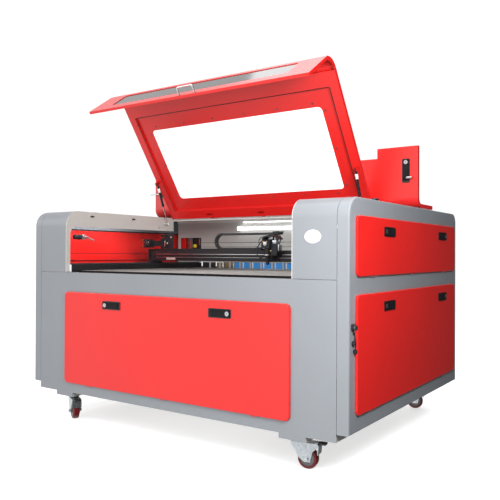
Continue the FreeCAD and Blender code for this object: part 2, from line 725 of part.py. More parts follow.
def door(x0, x1, low, high, latches, ribs=()):
    """Pan door in door coordinates, with its latch bezels and hinge knuckles."""
    outer = rounded_plate(x0, x1, low, high, DOOR_RADIUS, -DOOR_PROUD, -0.6)
    outer = softened(outer, 5.0, on_plane("Y", -DOOR_PROUD))
    inner = rounded_plate(x0 + 2, x1 - 2, low + 2, high - 2, DOOR_RADIUS - 2, -DOOR_PROUD + 2.5, 1)
    pieces = [outer.cut(inner)]
    for z0, z1 in ribs:
        pieces.append(box(x0 + 30, x1 - 30, -DOOR_PROUD + 2.5, -2, z0, z1))
    middle = (x0 + x1) / 2.0
    spread = 500 if abs(middle) < 1 else 450
    for x in (middle - spread, middle, middle + spread):
        axis_z = low - HINGE_DROP
        pieces.append(tube(HINGE_R, 0.86, (x - 9.5, -5, axis_z), (x + 9.5, -5, axis_z)))
        pieces.append(box(x - 9.5, x + 9.5, -7, -6, axis_z, low + 1.9))
    shape = join(pieces)
    bezels = [moved(latch_bezel(*latch), 0, -DOOR_PROUD, 0) for latch in latches]
    return join([shape] + bezels)


def front_door():
    half, low, high = FRONT_DOOR
    x, z = FRONT_LATCH
    return door(-half, half, low, high, [(-x, z, -1), (x, z, 1)])


def side_door(level):
    low, high = UPPER_DOOR if level == "upper" else LOWER_DOOR
    ribs = [(813, 852)] if level == "upper" else [(440, 480)]
    z = SIDE_LATCH_HEIGHTS[level]
    first, second = SIDE_LATCH_DEPTHS
    shape = door(SIDE_DOOR[0], SIDE_DOOR[1], low, high, [(first, z, -1), (second, z, 1)], ribs)
    return on_side_wall(shape)


def side_latch(level, place):
    depth = SIDE_LATCH_DEPTHS[0 if place == "front" else 1]
    facing = -1 if place == "front" else 1
    handle = latch_handle(depth, SIDE_LATCH_HEIGHTS[level], facing)
    return on_side_wall(moved(handle, 0, -DOOR_PROUD, 0))


# ---- lid ----------------------------------------------------------------
def lid_profile(inset, x, over=0.0):
    face, top = FLAP_FACE + inset, TOP - inset
    radius = CORNER - inset
    rear, low = LID_REAR + over, 990.0 - over
    return outline([
        ("line", (face, low), (face, top - radius)),
        ("arc", (face + radius, top - radius), radius, 180, 90),
        ("line", (face + radius, top), (rear, top)),
        ("line", (rear, top), (rear, low)),
        ("line", (rear, low), (face, low))], x)


def lid_shell():
    """Lid skin with a folded lip all round and the front flap."""
    skin = lid_profile(0.0, -LID_HALF).extrude(V(2 * LID_HALF, 0, 0))
    hollow = lid_profile(SHEET, -LID_HALF - 1, 5.0).extrude(V(2 * LID_HALF + 2, 0, 0))
    skin = skin.cut(hollow)
    low, high = TOP - LID_DEEP, TOP - SHEET
    edge = LID_HALF
    frame = [
        bar(-edge, -edge + LIP, 76, LID_REAR, low, high, 2.0),
        bar(edge - LIP, edge, 76, LID_REAR, low, high, 2.0),
        bar(-edge + LIP, edge - LIP, 76, 152, low, high, 2.0),
        bar(-edge + LIP, edge - LIP, LID_REAR - 55, LID_REAR, low, high, 2.0),
    ]
    retainer = box(-edge + LIP, edge - LIP, 152, LID_REAR - 55, high - 6, high - 4)
    ends = [retainer]
    for side in (-1, 1):
        x0, x1 = side * (edge - SHEET), side * edge
        end = lid_profile(0.0, min(x0, x1)).extrude(V(SHEET, 0, 0))
        inner = lid_profile(LID_DEEP, min(x0, x1) - 1, 5.0).extrude(V(SHEET + 2, 0, 0))
        ends.append(end.cut(inner))
    flap = rounded_plate(-FLAP_HALF, FLAP_HALF, FLAP_LOW, 1003, 3,
                         FLAP_FACE, FLAP_FACE + FLAP_THICK)
    pocket = box(-FLAP_HALF + SHEET, FLAP_HALF - SHEET, FLAP_FACE + SHEET,
                 FLAP_FACE + FLAP_THICK + 1, FLAP_LOW + SHEET, 1004)
    flap = flap.cut(pocket)
    half, front, rear = LID_WINDOW
    window = flat_plate(-half, half, front, rear, 22, TOP - 10, TOP + 10)
    half, z0, z1 = FLAP_WINDOW
    flap_window = rounded_plate(-half, half, z0, z1, 14, -30, 30)
    shape = join([skin, flap] + frame + ends).cut(group([window, flap_window]))
    y, z = LID_AXIS
    knuckles = []
    for x in (-362, 0, 362):
        knuckles.append(rod(4.5, (x - 15, y, z), (x + 15, y, z)))
        knuckles.append(box(x - 15, x + 15, LID_REAR - 2, y, z - 2, z + 2))
        knuckles.append(box(x - 15, x + 15, LID_REAR - 1, LID_REAR + 2, z - 6, z + 2))
    slots = []
    for x in (-362, 0, 362):
        slots.append(flat_plate(x - 22, x + 22, 790, 802, 4, low - 1, low + 4))
    pins = [rod(1.96, (x - 20, y, z), (x + 20, y, z)) for x in (-362, 0, 362)]
    shape = join([shape] + knuckles).cut(group(pins + slots))
    studs = []
    by, bz = STRUT_LID
    for side in (-1, 1):
        x = side * STRUT_X
        studs.append(box(x + side * 6, x + side * 9, by - 11, by + 11, bz - 10, low))
        studs.append(rod(3.8, (x - side * 3.0, by, bz), (x + side * 6, by, bz)))
    return closed_to_open(join([shape] + studs))


def lid_windows():
    """Clear sheet under the lid and tinted sheet behind the flap opening."""
    half, front, rear = LID_WINDOW
    z = TOP - SHEET
    sheet = box(-half - 32, half + 32, front - 32, rear + 32, z - 4, z)
    half, z0, z1 = FLAP_WINDOW
    pane = box(-half - 15, half + 15, FLAP_FACE + SHEET, FLAP_FACE + 6, z0 - 12, z1 + 12)
    return closed_to_open(group([sheet, pane]))


def lid_screws():
    """Button head screws that hold the clear sheet."""
    half, front, rear = LID_WINDOW
    z = TOP - SHEET - 6
    places = []
    for i in range(6):
        x = -500 + 200 * i
        places += [(x, front - 20), (x, rear + 20)]
    for y in (262, 461, 663):
        places += [(-half - 16, y), (half + 16, y)]
    screws = []
    for x, y in places:
        screws.append(Part.makeCone(5.0, 3.2, 2.6, V(x, y, z), V(0, 0, -1)))
    return closed_to_open(group(screws))


def lid_handle():
    """Bent wire pull on the flap."""
    half, z, stand, radius = 48.0, 826.0, 36.0, 4.5
    bend = 12.0
    y = FLAP_FACE
    points = [V(-half, y, z), V(-half, y - stand + bend, z)]
    edges = [Part.LineSegment(points[0], points[1]).toShape()]
    k = bend * (1 - math.cos(math.radians(45)))
    middle = V(-half + k, y - stand + k, z)
    end = V(-half + bend, y - stand, z)
    edges.append(Part.Arc(points[1], middle, end).toShape())
    other = V(half - bend, y - stand, z)
    edges.append(Part.LineSegment(end, other).toShape())
    last = V(half, y - stand + bend, z)
    edges.append(Part.Arc(other, V(half - k, y - stand + k, z), last).toShape())
    edges.append(Part.LineSegment(last, V(half, y, z)).toShape())
    path = Part.Wire(edges)
    circle = Part.Wire(Part.makeCircle(radius, V(-half, y, z), V(0, -1, 0)))
    bow = path.makePipeShell([circle], True, False)
    roses = [rod(8, (x, y, z), (x, y - 3, z)) for x in (-half, half)]
    return closed_to_open(join([bow] + roses))


def open_strut_point():
    """Strut ball on the lid, with the lid standing open."""
    a = math.radians(LID_ANGLE)
    y, z = STRUT_LID[0] - LID_AXIS[0], STRUT_LID[1] - LID_AXIS[1]
    return (LID_AXIS[0] + y * math.cos(a) + z * math.sin(a),
            LID_AXIS[1] - y * math.sin(a) + z * math.cos(a))


def strut_parts(side):
    """Cylinder and rod of one gas strut, between its two balls."""
    top, low = open_strut_point(), STRUT_WALL
    x = side * STRUT_X
    dy, dz = low[0] - top[0], low[1] - top[1]
    length = math.hypot(dy, dz)
    uy, uz = dy / length, dz / length

    def at(distance):
        return (x, top[0] + uy * distance, top[1] + uz * distance)

    eye = rod(7.0, (x - 3, top[0], top[1]), (x + 3, top[0], top[1]))
    neck = rod(4.0, at(4), at(16))
    barrel = rod(7.0, at(14), at(STRUT_CYLINDER))
    cylinder = join([eye, neck, barrel])
    cylinder = cylinder.cut(rod(3.05, at(24), at(STRUT_CYLINDER + 1)))
    cylinder = cylinder.cut(rod(3.86, (x - 5, top[0], top[1]), (x + 5, top[0], top[1])))
    piston = rod(3.0, at(98), at(length - 4))
    foot = rod(7.0, (x - 4, low[0], low[1]), (x + 4, low[0], low[1]))
    return cylinder, join([piston, foot])


# ---- rear cover ---------------------------------------------------------
def cover_profile(inset, depth, x0, x1):
    """Band of the given depth that follows the cover's L shape."""
    top = COVER_SKIN + COVER_HEIGHT
    rear = COVER_AXIS[0] - 6
    r0 = REAR_CORNER - inset
    r1 = REAR_CORNER - inset - depth
    cy, cz = COVER_FRONT + REAR_CORNER, COVER_SKIN + REAR_CORNER
    low0, low1 = COVER_SKIN + inset, COVER_SKIN + inset + depth
    front0, front1 = COVER_FRONT + inset, COVER_FRONT + inset + depth
    return outline([
        ("line", (rear, low0), (cy, low0)),
        ("arc", (cy, cz), r0, 270, 180),
        ("line", (front0, cz), (front0, top)),
        ("line", (front0, top), (front1, top)),
        ("line", (front1, top), (front1, cz)),
        ("arc", (cy, cz), r1, 180, 270),
        ("line", (cy, low1), (rear, low1)),
        ("line", (rear, low1), (rear, low0))], x0).extrude(V(x1 - x0, 0, 0))


def rear_cover():
    """L-shaped cover of the laser tube, swung open over the deck."""
    half = COVER_HALF
    top = COVER_SKIN + COVER_HEIGHT
    pieces = [
        cover_profile(0, SHEET, -half, half),
        cover_profile(0, 20, half - SHEET, half),
        cover_profile(0, 20, -half, -half + SHEET),
        box(-half, -COVER_TAB_X, COVER_FRONT, COVER_FRONT + 16, top - SHEET, top),
        box(COVER_TAB_X, half, COVER_FRONT, COVER_FRONT + 16, top - SHEET, top),
    ]
    shape = join(pieces)
    notch = top - COVER_NOTCH
    shape = shape.cut(box(-COVER_TAB_X, COVER_TAB_X, 800, 1000, notch, top + 1))
    hem = box(-COVER_TAB_X, COVER_TAB_X, COVER_FRONT, COVER_FRONT + 16, notch - SHEET, notch)
    y, z = COVER_AXIS
    knuckles = []
    pins = []
    for x in (-600, 0, 600):
        knuckles.append(rod(4.8, (x - 15, y, z), (x + 15, y, z)))
        knuckles.append(box(x - 15, x + 15, y - 22, y, z + 1.5, COVER_SKIN + 1))
        pins.append(rod(1.96, (x - 20, y, z), (x + 20, y, z)))
    shape = join([shape, hem] + knuckles).cut(group(pins))
    bezels = [cover_latch_part(latch_bezel, side) for side in (-1, 1)]
    return join([shape] + bezels)


def cover_latch_part(maker, side):
    """Puts a latch piece upright on the cover face, pivot at the bottom."""
    part = turned(maker(0, 0, 1), (0, 0, 0), Y_AXIS, -90)
    part = moved(part, COVER_LATCH[0], COVER_FRONT, COVER_LATCH[1])
    return for_side(part, side)


def cover_latch(side):
    """Swing handle of the rear cover with its side tongue."""
    handle = cover_latch_part(latch_handle, side)
    reach, radius = (846, 6.5) if side > 0 else (906, 4.5)
    z = COVER_LATCH[1] + 9
    x0, x1 = sorted((side * 820, side * reach))
    tongue = rod(radius, (x0, COVER_FRONT - 11.5, z), (x1, COVER_FRONT - 11.5, z))
    post = rod(3.5, (side * 820, COVER_FRONT - 12, z), (side * 820, COVER_FRONT - 5, z))
    return join([handle, tongue, post])


# ---- casters ------------------------------------------------------------
def caster_fork():
    """Swivel fork about its king pin at the local origin, trailing along +X."""
    race = rod(34, (0, 0, 110), (0, 0, CASTER_HEIGHT - GAP))
    crown = Part.makeCone(30, 24, 5, V(0, 0, 110), V(0, 0, -1))
    legs = []
    inner, outer = WHEEL_WIDTH / 2.0 + 3.5, WHEEL_WIDTH / 2.0 + 6.5
    for side in (-1, 1):
        y0, y1 = sorted((side * inner, side * outer))
        corners = [V(-30, y0, 106), V(84, y0, 106), V(88, y0, 96), V(62, y0, 72), V(52, y0, 30),
                   V(28, y0, 30), V(4, y0, 46), V(-10, y0, 72), V(-28, y0, 98)]
        face = Part.Face(Part.makePolygon(corners + corners[:1]))
        legs.append(face.extrude(V(0, y1 - y0, 0)))
    top = box(-30, 84, -outer, outer, 103, 106)
    nose = prism([(-30, 106), (-28, 98), (-14, 78), (-11, 78), (-25, 99), (-26, 106)], -outer, outer)
    hood = prism([(84, 106), (88, 96), (85, 62), (82, 62), (84.5, 96), (81, 106)], -outer, outer)
    pedal = prism([(30, 106), (108, 108.5), (112, 104), (110, 102), (84, 103)], -15, 15)
    nose, hood, pedal = [turned(part, (0, 0, 0), Z_AXIS, -90) for part in (nose, hood, pedal)]
    axle = rod(5, (TRAIL, -outer - 4, WHEEL_RADIUS), (TRAIL, outer + 4, WHEEL_RADIUS))
    nuts = []
    for side in (-1, 1):
        a, b = (TRAIL, side * outer, WHEEL_RADIUS), (TRAIL, side * (outer + 6), WHEEL_RADIUS)
        nuts.append(rod(8.5, a, b))
    return join([race, crown, top, nose, hood, pedal, axle] + legs + nuts)


def caster_wheel():
    """Tyre and core of one wheel, on its axle."""
    half = WHEEL_WIDTH / 2.0
    tyre = rod(WHEEL_RADIUS, (TRAIL, -half, WHEEL_RADIUS), (TRAIL, half, WHEEL_RADIUS))
    tyre = softened(tyre, 9.0, lambda edge: edge.Closed and edge.Length > 100)
    hub = rod(12, (TRAIL, -half - 2, WHEEL_RADIUS), (TRAIL, half + 2, WHEEL_RADIUS))
    dishes = []
    for side in (-1, 1):
        a, b = (TRAIL, side * (half - 4), WHEEL_RADIUS), (TRAIL, side * (half + 1), WHEEL_RADIUS)
        dishes.append(tube(30, 12, a, b))
    wheel = join([tyre.cut(group(dishes)), hub])
    return wheel.cut(rod(5.06, (TRAIL, -30, WHEEL_RADIUS), (TRAIL, 30, WHEEL_RADIUS)))


def place_caster(shape, end, side):
    shape = turned(shape, (0, 0, 0), Z_AXIS, CASTER_YAW[end, side])
    return moved(shape, side * CASTER_X, CASTER_DEPTHS[end], 0)


# ---- build --------------------------------------------------------------
def main():
    os.makedirs("parts", exist_ok=True)
    save("base_frame", base_frame())
    save("front_panel", front_panel())
    save("rear_deck", rear_deck())
    save("bay_rear_wall", bay_rear_wall())
    save("rear_panel", rear_panel())
    save("bay_floor", bay_floor())
    save("debris_tray", debris_tray())
    save("blade_table", blade_table())
    save("y_rails", y_rails())
    save("gantry_beam", gantry_beam())
    save("laser_head", laser_head())
    save("focus_nozzle", focus_nozzle())
    save("chain_bend", chain_bend())
    save("chain_run", chain_run())
    save("chain_lower", chain_lower())
    save("laser_tube", laser_tube())
    save("tube_mounts", tube_mounts())
    save("bay_lamp", bay_lamp())
    save("electronics", electronics())
    save("control_panel", control_panel())
    save("stop_button", stop_button())
    save("data_ports", data_ports())
    save("lid_shell", lid_shell())
    save("lid_windows", lid_windows())
    save("lid_screws", lid_screws())
    save("lid_handle", lid_handle())
    save("rear_cover", rear_cover())
    save("front_door", front_door())
    shell, post = side_shell(), column()
    for name, side in SIDES.items():
        save("side_shell_" + name, for_side(shell, side))
        save("column_" + name, for_side(post, side))
        cylinder, piston = strut_parts(side)
        save("strut_cylinder_" + name, cylinder)
        save("strut_rod_" + name, piston)
        save("cover_latch_" + name, cover_latch(side))
        x, z = FRONT_LATCH
        handle = latch_handle(side * x, z, side)
        save("front_latch_" + name, moved(handle, 0, -DOOR_PROUD, 0))
        for level in ("upper", "lower"):
            save("side_door_" + level + "_" + name, for_side(side_door(level), side))
            for place in ("front", "rear"):
                latch = for_side(side_latch(level, place), side)
                save("latch_" + level + "_" + place + "_" + name, latch)
        for end in ("front", "rear"):
            save("caster_fork_" + end + "_" + name, place_caster(caster_fork(), end, side))
            save("caster_wheel_" + end + "_" + name, place_caster(caster_wheel(), end, side))


if __name__ == "__main__":
    main()
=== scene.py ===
import math

import bmesh
import bpy
from mathutils import Matrix, Vector


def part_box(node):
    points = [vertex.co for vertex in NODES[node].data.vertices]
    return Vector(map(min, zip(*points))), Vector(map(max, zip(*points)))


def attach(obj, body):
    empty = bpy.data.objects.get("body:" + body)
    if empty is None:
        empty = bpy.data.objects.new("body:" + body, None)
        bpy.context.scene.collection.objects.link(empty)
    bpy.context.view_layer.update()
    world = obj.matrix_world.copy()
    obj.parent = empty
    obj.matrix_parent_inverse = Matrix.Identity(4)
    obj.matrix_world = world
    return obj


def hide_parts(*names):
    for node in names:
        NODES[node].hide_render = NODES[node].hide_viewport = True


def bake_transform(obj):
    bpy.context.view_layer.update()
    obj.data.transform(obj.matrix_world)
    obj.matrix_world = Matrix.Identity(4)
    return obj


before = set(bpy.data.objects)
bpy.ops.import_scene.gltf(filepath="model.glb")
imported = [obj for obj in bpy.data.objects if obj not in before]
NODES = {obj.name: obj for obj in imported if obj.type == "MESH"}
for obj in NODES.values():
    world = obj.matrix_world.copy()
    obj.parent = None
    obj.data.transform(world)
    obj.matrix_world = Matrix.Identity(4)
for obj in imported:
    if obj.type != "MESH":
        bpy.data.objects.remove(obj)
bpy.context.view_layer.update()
SIDES = (("left", -1), ("right", 1))
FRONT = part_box("front_panel")[1].y - 0.030      # plane of the front sheet
X, Y, Z = Vector((1, 0, 0)), Vector((0, 1, 0)), Vector((0, 0, 1))

# Places on the machine, in millimetres: x, depth behind the front sheet, height.
FRONT_DOOR_FACE = -11             # depth of the front door's outer face
SIDE_DOOR_FACE = 936              # |x| of the side doors' outer faces
COVER_FACE = 880                  # depth of the rear cover's outer face
FRONT_LATCH = (282, 601)          # pivot |x| and height
COVER_LATCH = (812, 1226)         # pivot |x| and height
SIDE_LATCH_DEPTHS = (("front", 412, -1), ("rear", 1015, 1))
SIDE_LATCH_HEIGHTS = (("upper", 948), ("lower", 641))
LOCK_REACH = 88                   # from a latch's pivot to its lock
RECESS = (-8.8, 102.3)            # ends of a latch's recess from its pivot
LID_AXIS = (827, 1069)            # depth and height of the lid's hinge
LID_OPEN = math.radians(-55.5)    # from lying shut to its place at rest
COLUMN_WALL = 675                 # |x| of the column walls facing the bay
NOZZLE = (177, 596)               # x and depth of the focusing nozzle's axis
CASTER_X = 680                    # |x| of the casters' king pins
CASTER_DEPTHS = {"front": 60, "rear": 1270}
CASTER_YAWS = {("front", -1): -30, ("front", 1): 10, ("rear", -1): 20, ("rear", 1): 20}   # degrees
TRAIL = 38                        # from the king pin to the axle
WHEEL_RADIUS = 42


def at(x, depth, z):
    """A point from millimetres: x, depth behind the front sheet, height."""
    return Vector((x / 1000, FRONT + depth / 1000, z / 1000))


# ---- materials ----------------------------------------------------------
class Shader:
    """A Principled material with helpers for the nodes in front of it."""

    def __init__(self, name, rough=0.5, metal=0.0, specular=0.5, coat=0.0, coat_rough=0.1):
        self.material = bpy.data.materials.new(name)
        self.material.use_nodes = True
        self.tree = self.material.node_tree
        self.bsdf = self.tree.nodes["Principled BSDF"]
        self.set("Roughness", rough)
        self.set("Metallic", metal)
        self.set("Specular IOR Level", specular)
        self.set("Coat Weight", coat)
        self.set("Coat Roughness", coat_rough)
        self.coords = self.tree.nodes.new("ShaderNodeTexCoord").outputs["Object"]

    def set(self, name, value):
        self.bsdf.inputs[name].default_value = value

    def node(self, kind, **values):
        made = self.tree.nodes.new(kind)
        for key, value in values.items():
            setattr(made, key, value)
        return made

    def link(self, source, target):
        self.tree.links.new(source, target)

    def feed(self, socket, value):
        if hasattr(value, "is_linked"):
            self.link(value, socket)
        else:
            socket.default_value = value

    def scaled(self, scale):
        mapping = self.node("ShaderNodeMapping")
        mapping.inputs["Scale"].default_value = scale
        self.link(self.coords, mapping.inputs["Vector"])
        return mapping.outputs["Vector"]

    def noise(self, scale, detail=4.0, rough=0.6, stretch=(1, 1, 1)):
        made = self.node("ShaderNodeTexNoise")
        made.inputs["Scale"].default_value = scale
        made.inputs["Detail"].default_value = detail
        made.inputs["Roughness"].default_value = rough
        self.link(self.scaled(stretch), made.inputs["Vector"])
        return made.outputs["Fac"]

    def math(self, operation, a, b=0.0):
        made = self.node("ShaderNodeMath", operation=operation)
        self.feed(made.inputs[0], a)
        self.feed(made.inputs[1], b)
        return made.outputs[0]

    def axis(self, name):
        made = self.node("ShaderNodeSeparateXYZ")
        self.link(self.coords, made.inputs[0])
        return made.outputs[name]

    def ramp(self, fac, stops):
        made = self.node("ShaderNodeValToRGB")
        element = made.color_ramp.elements
        while len(element) < len(stops):
            element.new(0.5)
        for item, (place, color) in zip(element, stops):
            item.position = place
            item.color = (*color, 1.0)
        self.link(fac, made.inputs["Fac"])
        return made.outputs["Color"]

    def mix(self, fac, a, b):
        made = self.node("ShaderNodeMix", data_type="RGBA")
        self.feed(made.inputs[0], fac)
        self.feed(made.inputs[6], a if hasattr(a, "is_linked") else (*a, 1.0))
        self.feed(made.inputs[7], b if hasattr(b, "is_linked") else (*b, 1.0))
        return made.outputs[2]

    def color(self, value):
        self.feed(self.bsdf.inputs["Base Color"], value)

    def bump(self, height, strength, distance):
        made = self.node("ShaderNodeBump")
        made.inputs["Strength"].default_value = strength
        made.inputs["Distance"].default_value = distance
        self.link(height, made.inputs["Height"])
        self.link(made.outputs["Normal"], self.bsdf.inputs["Normal"])

    def roughness(self, fac, low, high):
        made = self.node("ShaderNodeMapRange")
        made.inputs["To Min"].default_value = low
        made.inputs["To Max"].default_value = high
        self.link(fac, made.inputs["Value"])
        self.link(made.outputs["Result"], self.bsdf.inputs["Roughness"])


def shade(color, factor):
    return tuple(min(1.0, c * factor) for c in color)


def powder_coat(name, color, rough, grain=520.0, depth=0.25, coat=0.0):
    """Sprayed enamel: orange peel, slow colour drift and a little dust."""
    s = Shader(name, rough, 0.0, 0.5, coat, 0.18)
    drift = s.noise(3.0, 3.0)
    fine = s.noise(grain, 3.0)
    base = s.ramp(drift, [(0.30, shade(color, 0.95)), (0.70, shade(color, 1.05))])
    dust = s.ramp(fine, [(0.35, shade(color, 0.93)), (0.65, shade(color, 1.06))])
    s.color(s.mix(0.35, base, dust))
    s.roughness(s.noise(40.0, 4.0), rough - 0.05, rough + 0.07)
    s.bump(fine, depth, 0.0004)
    return s


GRAY = (0.190, 0.203, 0.219)


def red_coat(name, frame_mask=None):
    """Red enamel, with the latch frames that stand proud of it in black."""
    s = powder_coat(name, (0.590, 0.012, 0.010), 0.32, 700.0, 0.10, 0.14)
    if frame_mask is not None:
        enamel = s.bsdf.inputs["Base Color"].links[0].from_socket
        s.color(s.mix(frame_mask(s), enamel, (0.008, 0.008, 0.009)))
    return s.material


def proud_of_side(limit):
    return lambda s: s.math("GREATER_THAN", s.math("ABSOLUTE", s.axis("X")), limit)


def proud_of_front(limit):
    return lambda s: s.math("LESS_THAN", s.axis("Y"), FRONT + limit)


def latch_coat(name, lock_mask):
    """Black moulded handle with the bright face of its lock."""
    s = Shader(name, 0.38, 0.0, 0.10)
    black = s.ramp(s.noise(20.0, 4.0), [(0.3, (0.006, 0.006, 0.007)), (0.7, (0.011, 0.011, 0.012))])
    bright = s.ramp(s.noise(300.0, 3.0), [(0.3, (0.50, 0.50, 0.51)), (0.7, (0.66, 0.66, 0.67))])
    mask = lock_mask(s)
    s.color(s.mix(mask, black, bright))
    s.link(mask, s.bsdf.inputs["Metallic"])
    s.bump(s.noise(800.0, 3.0), 0.10, 0.0003)
    return s.material


def gray_coat():
    s = powder_coat("gray_coat", GRAY, 0.42, 900.0, 0.22, 0.10)
    return s.material


def column_coat():
    """Gray outside, a warmer and lighter coat on the wall facing the bay."""
    s = powder_coat("column_coat", GRAY, 0.42, 900.0, 0.22, 0.10)
    outside = s.bsdf.inputs["Base Color"].links[0].from_socket
    wall = s.math("LESS_THAN", s.math("ABSOLUTE", s.axis("X")), 0.6782)
    grain = s.ramp(s.noise(900.0, 3.0), [(0.3, (0.44, 0.42, 0.395)), (0.7, (0.50, 0.48, 0.45))])
    s.color(s.mix(wall, outside, grain))
    return s.material


def bay_coat():
    """Warm gray enamel of the bay, with the blue filter plate below."""
    s = powder_coat("bay_coat", (0.44, 0.43, 0.41), 0.42, 800.0, 0.2)
    plain = s.bsdf.inputs["Base Color"].links[0].from_socket
    behind = s.math("GREATER_THAN", s.axis("Y"), FRONT + 1.1125)
    low = s.math("LESS_THAN", s.axis("Z"), 0.8058)
    plate = s.math("MULTIPLY", behind, low)
    weave = s.ramp(s.noise(260.0, 2.0), [(0.3, (0.035, 0.27, 0.72)), (0.7, (0.06, 0.36, 0.86))])
    s.color(s.mix(plate, plain, weave))
    return s.material


def deck_coat():
    """Gray on top, light on the strip over the bay."""
    s = powder_coat("deck_coat", GRAY, 0.42, 900.0, 0.2, 0.10)
    outside = s.bsdf.inputs["Base Color"].links[0].from_socket
    under = s.math("LESS_THAN", s.axis("Z"), 1.0722)
    grain = s.ramp(s.noise(900.0, 3.0), [(0.3, (0.53, 0.51, 0.49)), (0.7, (0.59, 0.57, 0.55))])
    s.color(s.mix(under, outside, grain))
    return s.material


def brushed(name, color, rough, stretch=(1, 1, 40), metal=1.0):
    """Drawn or brushed metal with long fine scratches."""
    s = Shader(name, rough, metal)
    lines = s.noise(120.0, 5.0, 0.7, stretch)
    s.color(s.ramp(lines, [(0.3, shade(color, 0.82)), (0.7, shade(color, 1.12))]))
    s.roughness(lines, rough - 0.06, rough + 0.12)
    s.bump(lines, 0.12, 0.0003)
    return s.material


def zinc(name, color, rough):
    """Bright zinc plating with faint mottling."""
    s = Shader(name, rough, 0.95)
    spots = s.noise(90.0, 5.0, 0.65)
    s.color(s.ramp(spots, [(0.35, shade(color, 0.80)), (0.65, shade(color, 1.10))]))
    s.roughness(spots, rough - 0.05, rough + 0.15)
    s.bump(s.noise(400.0, 3.0), 0.08, 0.0003)
    return s.material


def anodised(name, color, rough=0.36):
    s = Shader(name, rough, 0.10, 0.25)
    lines = s.noise(200.0, 4.0, 0.6, (0.05, 1, 1))
    s.color(s.ramp(lines, [(0.3, shade(color, 0.75)), (0.7, shade(color, 1.35))]))
    s.roughness(s.noise(60.0, 4.0), rough - 0.08, rough + 0.10)
    s.bump(s.noise(900.0, 3.0), 0.10, 0.0003)
    return s.material


def plastic(name, color, rough, grain=600.0, depth=0.2):
    s = Shader(name, rough)
    fine = s.noise(grain, 3.0)
    s.color(s.ramp(s.noise(20.0, 4.0), [(0.3, shade(color, 0.85)), (0.7, shade(color, 1.2))]))
    s.roughness(fine, rough - 0.05, rough + 0.08)
    s.bump(fine, depth, 0.0003)
    return s.material


def glass(name, color, rough, transmission):
    s = Shader(name, rough, 0.0, 0.5)
    s.set("Transmission Weight", transmission)
    s.set("IOR", 1.35)
    s.color(s.ramp(s.noise(4.0, 2.0), [(0.3, shade(color, 0.97)), (0.7, color)]))
    s.roughness(s.noise(30.0, 3.0), rough, rough + 0.03)
    return s.material


def clear_sheet():
    """Acrylic: whitish film on the big pane with a painted white glow of its own, smoked in the flap."""
    s = Shader("acrylic", 0.10, 0.0, 0.5)
    cloud = s.noise(5.0, 2.0)
    pale = s.ramp(cloud, [(0.3, (0.93, 0.93, 0.93)), (0.7, (0.97, 0.97, 0.97))])
    smoke = s.ramp(cloud, [(0.3, (0.050, 0.048, 0.048)), (0.7, (0.070, 0.067, 0.067))])
    flap = s.math("LESS_THAN", s.axis("Y"), FRONT + 0.400)
    s.color(s.mix(flap, pale, smoke))
    # painted glow: the big pane gives off white light of its own so it reads bright white; the smoked flap
    # gives none
    glow = s.mix(flap, (1.0, 1.0, 1.0), (0.0, 0.0, 0.0))
    s.link(glow, s.bsdf.inputs["Emission Color"])
    s.set("Emission Strength", 0.35)
    s.set("Alpha", 0.90)
    s.roughness(s.noise(30.0, 3.0), 0.06, 0.12)
    return s.material


def lamp_material():
    s = Shader("lamp_glow", 0.3)
    along = s.noise(12.0, 2.0)
    tint = s.ramp(along, [(0.3, (0.90, 0.97, 1.0)), (0.7, (1.0, 1.0, 1.0))])
    s.color(tint)
    s.link(tint, s.bsdf.inputs["Emission Color"])
    s.set("Emission Strength", 3.2)
    return s.material


def rail_material():
    """Black rail bed with a darkened guide on top."""
    s = Shader("rail_black", 0.38, 0.4)
    lines = s.noise(150.0, 4.0, 0.6, (1, 0.05, 1))
    black = s.ramp(lines, [(0.3, (0.012, 0.012, 0.013)), (0.7, (0.032, 0.032, 0.034))])
    steel = s.ramp(lines, [(0.3, (0.05, 0.05, 0.052)), (0.7, (0.10, 0.10, 0.105))])
    top = s.math("GREATER_THAN", s.axis("Z"), 0.7952)
    s.color(s.mix(top, black, steel))
    s.bump(lines, 0.1, 0.0003)
    return s.material


def slat_material():
    s = Shader("bed_slats", 0.40, 0.75)
    grime = s.noise(14.0, 6.0, 0.7)
    fine = s.noise(180.0, 4.0, 0.6, (0.1, 1, 1))
    clean = s.ramp(fine, [(0.3, (0.50, 0.49, 0.47)), (0.7, (0.68, 0.67, 0.65))])
    worn = s.mix(s.math("MULTIPLY", grime, 0.45), clean, (0.24, 0.22, 0.20))
    # painted shade: the bed's front face is coloured near black to stand in for the shade on it
    face = s.math("LESS_THAN", s.axis("Y"), FRONT + 0.0622)
    s.color(s.mix(face, worn, (0.012, 0.012, 0.013)))
    s.roughness(grime, 0.32, 0.6)
    s.bump(fine, 0.12, 0.0003)
    return s.material


def circuit_material():
    """Plain metal housings on a pale mounting plate."""
    s = Shader("housings", 0.4, 0.8)
    lines = s.noise(160.0, 4.0, 0.6, (1, 30, 1))
    s.color(s.ramp(lines, [(0.3, (0.40, 0.41, 0.42)), (0.7, (0.60, 0.61, 0.62))]))
    s.bump(lines, 0.12, 0.0003)
    return s.material


